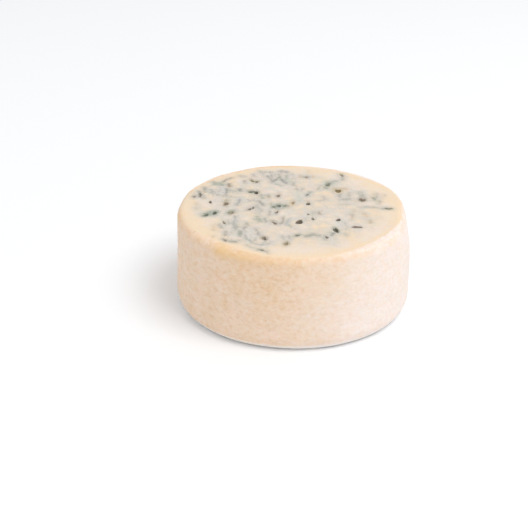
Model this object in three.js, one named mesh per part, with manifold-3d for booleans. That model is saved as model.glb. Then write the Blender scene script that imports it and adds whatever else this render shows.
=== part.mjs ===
// A wheel of blue goat's cheese with its upper rind sliced off, in millimetres, +Z up.
// The origin is the middle of the flat underside. The wheel is one solid: a rind that sags a little towards
// its foot, a soft worn rim round the cut face, and the pockets that the blue mould has opened in the paste.

import * as THREE from "three";
import { mergeVertices } from "three/addons/utils/BufferGeometryUtils.js";
import Module from "manifold-3d";

// Driving dimensions
const FACE_RADIUS = 100; // of the side where it meets the rim of the cut face
const HEIGHT = 84.4; // of the cut face above the underside
const FOOT_SPREAD = 1.5; // how much wider the sagging foot is than the top
const RIM_ROUND = 6.3; // radius of the worn edge of the cut face
const FOOT_ROUND = 14; // radius of the rounded lower edge
const FOOT_SINK = 1.4; // how much of that rounding the wheel's weight presses flat
const CUT_RISE = 0.3; // how far the cut climbs towards +X, over one face radius

// The rim is worn lower at one place, as where the wheel was gripped.
const WORN_DEPTH = 8; // how far the rim is pressed in there
const WORN_DROP = 50; // how far down the side that reaches
const WORN_AT = THREE.MathUtils.degToRad(-4); // its direction, from +X
const WORN_SPREAD = THREE.MathUtils.degToRad(20);
const WORN_CURVE = 3; // above 1 it deepens faster towards the top

// How finely the wheel is faceted
const SEGMENTS = 90; // round the axis
const RIM_STEPS = 4;
const FOOT_STEPS = 5;
const SIDE_STEPS = 6;
const FACE_RINGS = 3;

// Gentle waves of the side, each [height in mm, waves round the wheel, phase, turn per mm of height]
const SIDE_WAVES = [
  [0.35, 2, 0.6, 0.004],
  [0.25, 3, 2.1, -0.012],
  [0.4, 4, -1.6, 0.004],
  [0.1, 9, 1.3, -0.05],
  [0.08, 14, 5.2, 0.09],
];
const FADE_INWARDS = 4; // the power by which the side's moves die away towards the axis

// Gentle waves of the cut face, each [height in mm, direction in degrees, wavelength in mm, phase]
const FACE_WAVES = [
  [0.22, 20, 120, 0.4],
  [0.12, 105, 62, 2.2],
  [0.08, 60, 38, 4.4],
];

// Lobes of a pocket's mouth, each [share of its radius, lobes round it]
const POCKET_LOBES = [
  [0.13, 2],
  [0.11, 3],
  [0.07, 5],
];
const POCKET_PHASE_STEP = 2.4; // radians from one pocket's lobes to the next's
const LARGE_POCKET = 7.5; // a longer mouth than this gets the finer faceting

// The pockets of the cut face: [x, y] of the mouth's middle, its length and width, the depth, and the turn
// of its length from +X in degrees
const POCKETS = [
  { x: 4.2, y: -29.2, length: 8.2, width: 6.2, depth: 6, turn: 52 },
  { x: 34.3, y: -44, length: 10.4, width: 3.8, depth: 5, turn: -76 },
  { x: 36.8, y: -23.2, length: 5.6, width: 4, depth: 4, turn: 85 },
  { x: 51.7, y: -36.6, length: 8.6, width: 5.2, depth: 3.5, turn: 4 },
  { x: 38, y: 38.2, length: 7, width: 6, depth: 4, turn: 75 },
  { x: 58.6, y: 19.8, length: 7.2, width: 5.6, depth: 4, turn: 75 },
  { x: 11.6, y: 7.7, length: 5.8, width: 3.8, depth: 4, turn: -80 },
  { x: 80.3, y: 2.6, length: 7.4, width: 3.2, depth: 2, turn: -5 },
  { x: -38.4, y: 32, length: 5.8, width: 4.8, depth: 2.5, turn: 10 },
  { x: -34.2, y: 30.4, length: 6.2, width: 3.6, depth: 4, turn: 85 },
  { x: -14.7, y: 24.3, length: 5.2, width: 2.8, depth: 3, turn: 88 },
  { x: -82.8, y: 21.8, length: 9, width: 3.4, depth: 3.5, turn: -82 },
  { x: -87.4, y: 17.8, length: 3.8, width: 2.4, depth: 2, turn: 85 },
  { x: -72.8, y: 7.6, length: 6.4, width: 2.6, depth: 3, turn: -88 },
  { x: -59.2, y: 4.8, length: 8.2, width: 3.8, depth: 3, turn: 84 },
  { x: -38.3, y: -5.2, length: 4.2, width: 2.6, depth: 2.5, turn: 70 },
  { x: -35.6, y: -2.4, length: 4, width: 2.4, depth: 2.5, turn: 75 },
  { x: -13.8, y: 3, length: 5.6, width: 4.2, depth: 3.2, turn: 80 },
  { x: -17.9, y: 0.2, length: 4.2, width: 3, depth: 2, turn: 70 },
  { x: -8.4, y: 3.2, length: 5, width: 2.6, depth: 2, turn: 80 },
  { x: -67.4, y: -15.6, length: 6.8, width: 3.8, depth: 4, turn: 84 },
  { x: -74.4, y: -20.6, length: 5.6, width: 3.8, depth: 3, turn: 50 },
  { x: -53.8, y: -13.4, length: 7.6, width: 4.6, depth: 2.5, turn: 62 },
  { x: -15.1, y: -10.6, length: 5.4, width: 2.6, depth: 3, turn: 84 },
  { x: -1.5, y: 9.7, length: 5.4, width: 2.6, depth: 2.5, turn: 82 },
  { x: -16.5, y: -31.6, length: 5.4, width: 2.8, depth: 2.5, turn: -62 },
  { x: 11.4, y: -13.5, length: 4, width: 2.6, depth: 2.5, turn: 80 },
  { x: 15.4, y: -22.9, length: 5.6, width: 2.6, depth: 3, turn: -74 },
  { x: -24, y: -61.8, length: 6.6, width: 4.2, depth: 4, turn: -70 },
  { x: -6, y: -71, length: 5.2, width: 3.4, depth: 3, turn: 80 },
  { x: 26.7, y: -57.8, length: 5, width: 2.8, depth: 3, turn: -84 },
  { x: 2.8, y: -55.2, length: 4.8, width: 3.2, depth: 2.5, turn: 40 },
  { x: -55.3, y: -67.8, length: 4.4, width: 3, depth: 2, turn: -50 },
  { x: -58.2, y: -34.4, length: 5.8, width: 2.4, depth: 2.5, turn: -68 },
  { x: -38.8, y: 56.4, length: 6.2, width: 2.8, depth: 2.5, turn: -62 },
  { x: -34.8, y: 54.2, length: 4.2, width: 2.8, depth: 2.5, turn: 60 },
  { x: 29.2, y: 51.4, length: 8, width: 3.4, depth: 3, turn: 78 },
  { x: 42, y: 74.8, length: 6.4, width: 2.8, depth: 2, turn: -72 },
  { x: 9.8, y: 67.1, length: 4.6, width: 3, depth: 2, turn: 80 },
  { x: -25.5, y: -83.7, length: 5.2, width: 2.4, depth: 1.8, turn: -30 },
  { x: 10.8, y: 27.8, length: 5, width: 2.6, depth: 2, turn: 78 },
];

const CHEESE = new THREE.MeshStandardMaterial({
  color: new THREE.Color().setRGB(0.8, 0.66, 0.52),
  roughness: 0.7,
  metalness: 0,
});

const wasm = await Module();
wasm.setup();

// A geometry's points merged where they meet, with nothing but their places.
function bare(geometry) {
  const copy = geometry.clone();
  copy.deleteAttribute("normal");
  copy.deleteAttribute("uv");
  return mergeVertices(copy, 1e-3);
}

// Moves each point of a geometry to where place(point) puts it.
function reshape(geometry, place) {
  const position = geometry.getAttribute("position");
  const point = new THREE.Vector3();
  for (let i = 0; i < position.count; i++) {
    place(point.fromBufferAttribute(position, i));
    position.setXYZ(i, point.x, point.y, point.z);
  }
  return geometry;
}

// A closed geometry as a solid that can be cut.
function solid(geometry) {
  return new wasm.Manifold(
    new wasm.Mesh({
      numProp: 3,
      vertProperties: geometry.getAttribute("position").array,
      triVerts: new Uint32Array(geometry.index.array),
    }),
  );
}

// The geometry of a cut solid.
function geometryOf(made) {
  const mesh = made.getMesh();
  return new THREE.BufferGeometry()
    .setAttribute("position", new THREE.BufferAttribute(mesh.vertProperties, 3))
    .setIndex(new THREE.BufferAttribute(mesh.triVerts, 1));
}

// Points on an arc in the profile's plane, from angle start to angle end.
function arc(centre, radius, start, end, steps) {
  return Array.from({ length: steps + 1 }, (_, i) => {
    const angle = start + ((end - start) * i) / steps;
    return new THREE.Vector2(
      centre.x + radius * Math.cos(angle),
      centre.y + radius * Math.sin(angle),
    );
  });
}

// The wheel's half section, from the middle of the underside out and up to the middle of the cut face.
function wheelProfile() {
  const foot = new THREE.Vector2(
    FACE_RADIUS + FOOT_SPREAD - FOOT_ROUND,
    FOOT_ROUND - FOOT_SINK,
  );
  const rim = new THREE.Vector2(FACE_RADIUS - RIM_ROUND, HEIGHT - RIM_ROUND);
  const footStart = -Math.asin(foot.y / FOOT_ROUND);
  const footArc = arc(foot, FOOT_ROUND, footStart, 0, FOOT_STEPS);
  const rimArc = arc(rim, RIM_ROUND, 0, Math.PI / 2, RIM_STEPS);
  const side = Array.from({ length: SIDE_STEPS - 1 }, (_, i) =>
    footArc[FOOT_STEPS].clone().lerp(rimArc[0], (i + 1) / SIDE_STEPS),
  );
  const face = Array.from(
    { length: FACE_RINGS - 1 },
    (_, i) => new THREE.Vector2(rim.x * (1 - (i + 1) / FACE_RINGS), HEIGHT),
  );
  const underside = new THREE.Vector2(0, 0);
  const faceMiddle = new THREE.Vector2(0, HEIGHT);
  return [underside, ...footArc, ...side, ...rimArc, ...face, faceMiddle];
}

// The waves of the side at an angle round the wheel and a height.
function sideWave(angle, z) {
  return SIDE_WAVES.reduce(
    (sum, [height, count, phase, twist]) =>
      sum + height * Math.sin(count * angle + phase + twist * z),
    0,
  );
}

// The height of the cut face over HEIGHT: its slope and its gentle waves.
function faceRise(x, y) {
  const slope = (CUT_RISE * x) / FACE_RADIUS;
  return FACE_WAVES.reduce((sum, [height, direction, length, phase]) => {
    const turn = THREE.MathUtils.degToRad(direction);
    const along = x * Math.cos(turn) + y * Math.sin(turn);
    return sum + height * Math.sin((2 * Math.PI * along) / length + phase);
  }, slope);
}

// How far the worn place presses the side in.
function wornAway(angle, z) {
  const away = Math.atan2(Math.sin(angle - WORN_AT), Math.cos(angle - WORN_AT));
  const near = Math.exp(-((away / WORN_SPREAD) ** 2));
  const high = THREE.MathUtils.clamp((z - (HEIGHT - WORN_DROP)) / WORN_DROP, 0, 1);
  return WORN_DEPTH * near * high ** WORN_CURVE;
}

// Turns a point of the true lathed wheel into one of the uneven real wheel.
function makeUneven(point) {
  const radius = Math.hypot(point.x, point.y);
  if (radius < 1e-6) {
    point.z += point.z > 0 ? faceRise(0, 0) : 0;
    return;
  }
  const angle = Math.atan2(point.y, point.x);
  const outward = radius / FACE_RADIUS;
  const unevenness = sideWave(angle, point.z) - wornAway(angle, point.z);
  const moved = unevenness * outward ** FADE_INWARDS;
  const share = (radius + moved) / radius;
  const up = THREE.MathUtils.smoothstep(point.z, FOOT_ROUND, HEIGHT - RIM_ROUND);
  point.set(
    point.x * share,
    point.y * share,
    point.z + up * faceRise(point.x, point.y),
  );
}

// The whole wheel before the pockets are opened in it.
function wheelBody() {
  const lathed = new THREE.LatheGeometry(wheelProfile(), SEGMENTS);
  lathed.rotateX(Math.PI / 2);
  return solid(reshape(bare(lathed), makeUneven));
}

// A pocket's hollow: a lumpy half ellipsoid under the cut face, closed by its own upper half above it.
function pocketHollow(pocket, index) {
  const detail = pocket.length > LARGE_POCKET ? 3 : 2;
  const turn = THREE.MathUtils.degToRad(pocket.turn);
  const phase = index * POCKET_PHASE_STEP;
  const middle = HEIGHT + faceRise(pocket.x, pocket.y);
  const place = (point) => {
    const round = Math.atan2(point.y, point.x);
    const lobes = POCKET_LOBES.reduce(
      (sum, [share, count]) => sum + share * Math.sin(count * round + phase * count),
      1,
    );
    const along = (point.x * lobes * pocket.length) / 2;
    const across = (point.y * lobes * pocket.width) / 2;
    point.set(
      pocket.x + along * Math.cos(turn) - across * Math.sin(turn),
      pocket.y + along * Math.sin(turn) + across * Math.cos(turn),
      middle + point.z * pocket.depth,
    );
  };
  const ball = new THREE.IcosahedronGeometry(1, detail);
  return solid(reshape(bare(ball), place));
}

// The wheel with every pocket opened in its cut face.
function cheeseWheel() {
  const hollows = POCKETS.map(pocketHollow);
  const opened = hollows.reduce((wheel, hollow) => wheel.subtract(hollow), wheelBody());
  const mesh = new THREE.Mesh(geometryOf(opened), CHEESE);
  mesh.name = "cheese_wheel";
  return mesh;
}

const cheese = new THREE.Group();
cheese.add(cheeseWheel());

export default cheese;
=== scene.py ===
"""The looks of a wheel of blue goat's cheese whose upper rind has been sliced off.

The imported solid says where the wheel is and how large. This script replaces it with a finer closed mesh of the
same form, with the rind's pebbled skin, the relief of the cut face and the pockets opened by the mould, and
dresses it in one procedural finish. Shapes are worked out in millimetres and turned into metres at the end.
"""

import logging
import math
from dataclasses import dataclass, field
from enum import Enum

import bmesh
import bpy
import numpy as np
from mathutils import Matrix, Vector, noise


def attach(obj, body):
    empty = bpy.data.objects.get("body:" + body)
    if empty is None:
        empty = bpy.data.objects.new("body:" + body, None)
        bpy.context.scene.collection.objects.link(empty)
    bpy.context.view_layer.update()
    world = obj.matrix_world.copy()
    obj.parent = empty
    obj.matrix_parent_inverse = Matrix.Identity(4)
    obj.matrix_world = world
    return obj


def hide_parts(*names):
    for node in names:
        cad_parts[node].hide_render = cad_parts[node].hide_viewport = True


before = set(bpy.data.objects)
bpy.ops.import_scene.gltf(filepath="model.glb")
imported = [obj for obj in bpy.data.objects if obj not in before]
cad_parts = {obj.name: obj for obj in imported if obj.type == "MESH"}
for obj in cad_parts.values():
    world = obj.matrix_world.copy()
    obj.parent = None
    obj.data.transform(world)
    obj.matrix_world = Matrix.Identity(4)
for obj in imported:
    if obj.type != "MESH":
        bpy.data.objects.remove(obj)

MM = 0.001
BODY = "root"
NODE = "cheese_wheel"
PIECE = "goat_cheese_wheel"

log = logging.getLogger("cheese")

Colour = tuple[float, float, float]
Point = tuple[float, float]


def from_screen(red: int, green: int, blue: int) -> Colour:
    """Turns a colour as a screen shows it, 0 to 255, into the linear one that a shader takes.

    Args:
        red: The red part.
        green: The green part.
        blue: The blue part.

    Returns:
        The linear red, green and blue.
    """

    def linear(part: int) -> float:
        """Undoes the screen's curve for one part."""
        share = part / 255
        return share / 12.92 if share <= 0.04045 else ((share + 0.055) / 1.055) ** 2.4

    return linear(red), linear(green), linear(blue)


def ease(value: np.ndarray, low: float, high: float) -> np.ndarray:
    """Rises smoothly from 0 where value is low to 1 where it is high.

    Args:
        value: The values to ease.
        low: Where the rise begins.
        high: Where it ends. It may be under low, for a fall.

    Returns:
        The eased values.
    """
    share = np.clip((value - low) / (high - low), 0, 1)
    return share * share * (3 - 2 * share)


class Mould(Enum):
    """The colours that mould and the pockets' skin take on in the paste."""

    BLACK = from_screen(104, 97, 88)
    BLUE_BLACK = from_screen(106, 110, 108)
    GREEN_BLACK = from_screen(98, 104, 92)
    GREEN = from_screen(118, 130, 114)
    GREY_GREEN = from_screen(140, 144, 130)
    BLUE_GREY = from_screen(151, 155, 152)
    GREY = from_screen(152, 150, 144)
    BROWN_GREY = from_screen(150, 138, 122)
    BROWN = from_screen(129, 116, 99)
    OLIVE = from_screen(154, 138, 102)
    TAN = from_screen(202, 175, 142)
    HONEY = from_screen(188, 162, 118)
    MILK = from_screen(210, 206, 200)
    LILAC = from_screen(206, 200, 194)
    DOVE = from_screen(197, 192, 183)
    SAGE = from_screen(176, 186, 172)


@dataclass(frozen=True)
class Pocket:
    """A hollow that the mould has opened in the cut face. Lengths are in millimetres, the turn in degrees."""

    x: float
    y: float
    length: float
    width: float
    depth: float
    turn: float
    lining: Mould
    halo: Mould | None
    shade: float

    def local(self, x: np.ndarray, y: np.ndarray) -> tuple[np.ndarray, np.ndarray]:
        """Gives places on the face in half lengths along the mouth and half widths across it.

        Args:
            x: Places from left to right.
            y: Places from front to back.

        Returns:
            The places along and across the mouth.
        """
        turn = math.radians(self.turn)
        away_x, away_y = x - self.x, y - self.y
        along = away_x * math.cos(turn) + away_y * math.sin(turn)
        across = away_y * math.cos(turn) - away_x * math.sin(turn)
        return along * 2 / self.length, across * 2 / self.width


@dataclass(frozen=True)
class Streak:
    """A vein or patch of mould along a line drawn on the cut face, in millimetres."""

    mould: Mould
    width: float
    strength: float
    line: tuple[Point, ...]

    def distance(self, x: np.ndarray, y: np.ndarray) -> np.ndarray:
        """Measures how far places on the face are from the line.

        Args:
            x: Places from left to right.
            y: Places from front to back.

        Returns:
            The distances.
        """
        nearest = np.full(x.shape, np.inf)
        for (start_x, start_y), (end_x, end_y) in zip(self.line, self.line[1:]):
            run_x, run_y = end_x - start_x, end_y - start_y
            share = ((x - start_x) * run_x + (y - start_y) * run_y) / (run_x**2 + run_y**2)
            share = np.clip(share, 0, 1)
            away = np.hypot(x - start_x - share * run_x, y - start_y - share * run_y)
            nearest = np.minimum(nearest, away)
        return nearest


@dataclass(frozen=True)
class Cloud:
    """A part of the cut face that fine mould greys, with its half width and half depth in millimetres."""

    tint: Mould
    x: float
    y: float
    wide: float
    deep: float
    strength: float

    def thickness(self, x: np.ndarray, y: np.ndarray) -> np.ndarray:
        """Gives how thick the cloud is at places on the face.

        Args:
            x: Places from left to right.
            y: Places from front to back.

        Returns:
            The thickness, 0 to 1.
        """
        return self.strength * np.exp(-(((x - self.x) / self.wide) ** 2 + ((y - self.y) / self.deep) ** 2))


@dataclass(frozen=True)
class Blotch:
    """A stain on the rind, at a direction round the wheel in degrees and a drop below the cut face in mm."""

    direction: float
    drop: float
    length: float
    height: float
    strength: float


@dataclass(frozen=True)
class Wrinkle:
    """A shallow crease in the rind, from one [direction in degrees, height in mm] to another."""

    start: Point
    end: Point
    depth: float
    width: float


POCKETS = (
    Pocket(4.2, -29.2, 8.2, 6.2, 6, 52, Mould.BROWN, None, 0.85),
    Pocket(34.3, -44, 10.4, 3.8, 5, -76, Mould.GREEN_BLACK, Mould.GREY_GREEN, 0.6),
    Pocket(36.8, -23.2, 5.6, 4, 4, 85, Mould.BLACK, None, 0.75),
    Pocket(51.7, -36.6, 8.6, 5.2, 3.5, 4, Mould.BROWN_GREY, None, 0.85),
    Pocket(38, 38.2, 7, 6, 4, 75, Mould.OLIVE, Mould.HONEY, 0.8),
    Pocket(58.6, 19.8, 7.2, 5.6, 4, 75, Mould.BROWN, Mould.BROWN_GREY, 0.35),
    Pocket(11.6, 7.7, 5.8, 3.8, 4, -80, Mould.BLACK, None, 0.6),
    Pocket(80.3, 2.6, 7.4, 3.2, 2, -5, Mould.GREEN, None, 0.5),
    Pocket(-38.4, 32, 5.8, 4.8, 2.5, 10, Mould.GREEN, Mould.GREY_GREEN, 0.75),
    Pocket(-34.2, 30.4, 6.2, 3.6, 4, 85, Mould.BLACK, Mould.GREY_GREEN, 0.85),
    Pocket(-14.7, 24.3, 5.2, 2.8, 3, 88, Mould.BROWN, Mould.BROWN_GREY, 0.5),
    Pocket(-82.8, 21.8, 9, 3.4, 3.5, -82, Mould.BLUE_GREY, Mould.BLUE_GREY, 0.2),
    Pocket(-87.4, 17.8, 3.8, 2.4, 2, 85, Mould.BROWN_GREY, Mould.GREY, 0.35),
    Pocket(-72.8, 7.6, 6.4, 2.6, 3, -88, Mould.BLACK, None, 0.6),
    Pocket(-59.2, 4.8, 8.2, 3.8, 3, 84, Mould.BROWN, Mould.OLIVE, 0.5),
    Pocket(-38.3, -5.2, 4.2, 2.6, 2.5, 70, Mould.BLACK, Mould.BROWN_GREY, 0.6),
    Pocket(-35.6, -2.4, 4, 2.4, 2.5, 75, Mould.BLACK, Mould.BROWN_GREY, 0.55),
    Pocket(-13.8, 3, 5.6, 4.2, 3.2, 80, Mould.GREEN_BLACK, Mould.GREEN, 0.45),
    Pocket(-17.9, 0.2, 4.2, 3, 2, 70, Mould.GREEN, Mould.GREEN, 0.4),
    Pocket(-8.4, 3.2, 5, 2.6, 2, 80, Mould.GREEN, Mould.GREY_GREEN, 0.3),
    Pocket(-67.4, -15.6, 6.8, 3.8, 4, 84, Mould.GREEN_BLACK, Mould.GREEN, 0.4),
    Pocket(-74.4, -20.6, 5.6, 3.8, 3, 50, Mould.GREEN, Mould.GREEN, 0.4),
    Pocket(-53.8, -13.4, 7.6, 4.6, 2.5, 62, Mould.OLIVE, Mould.GREY_GREEN, 0.4),
    Pocket(-15.1, -10.6, 5.4, 2.6, 3, 84, Mould.BLUE_BLACK, Mould.GREY, 0.45),
    Pocket(-1.5, 9.7, 5.4, 2.6, 2.5, 82, Mould.OLIVE, Mould.HONEY, 0.35),
    Pocket(-16.5, -31.6, 5.4, 2.8, 2.5, -62, Mould.BROWN, Mould.BROWN_GREY, 0.3),
    Pocket(11.4, -13.5, 4, 2.6, 2.5, 80, Mould.GREEN, None, 0.4),
    Pocket(15.4, -22.9, 5.6, 2.6, 3, -74, Mould.GREEN, None, 0.35),
    Pocket(-24, -61.8, 6.6, 4.2, 4, -70, Mould.BROWN, Mould.BROWN_GREY, 0.3),
    Pocket(-6, -71, 5.2, 3.4, 3, 80, Mould.OLIVE, Mould.OLIVE, 0.1),
    Pocket(26.7, -57.8, 5, 2.8, 3, -84, Mould.BROWN, None, 0.5),
    Pocket(2.8, -55.2, 4.8, 3.2, 2.5, 40, Mould.GREEN, Mould.GREY_GREEN, 0.4),
    Pocket(-55.3, -67.8, 4.4, 3, 2, -50, Mould.GREY, Mould.GREY, 0.65),
    Pocket(-58.2, -34.4, 5.8, 2.4, 2.5, -68, Mould.BROWN, None, 0.3),
    Pocket(-38.8, 56.4, 6.2, 2.8, 2.5, -62, Mould.OLIVE, Mould.OLIVE, 0.75),
    Pocket(-34.8, 54.2, 4.2, 2.8, 2.5, 60, Mould.BROWN, Mould.OLIVE, 0.75),
    Pocket(29.2, 51.4, 8, 3.4, 3, 78, Mould.GREEN, Mould.GREEN, 0.25),
    Pocket(42, 74.8, 6.4, 2.8, 2, -72, Mould.OLIVE, None, 0.35),
    Pocket(9.8, 67.1, 4.6, 3, 2, 80, Mould.BROWN_GREY, None, 0.5),
    Pocket(-25.5, -83.7, 5.2, 2.4, 1.8, -30, Mould.GREY, Mould.GREY_GREEN, 0.55),
    Pocket(10.8, 27.8, 5, 2.6, 2, 78, Mould.BLUE_BLACK, Mould.BLUE_GREY, 0.4),
)

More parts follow.
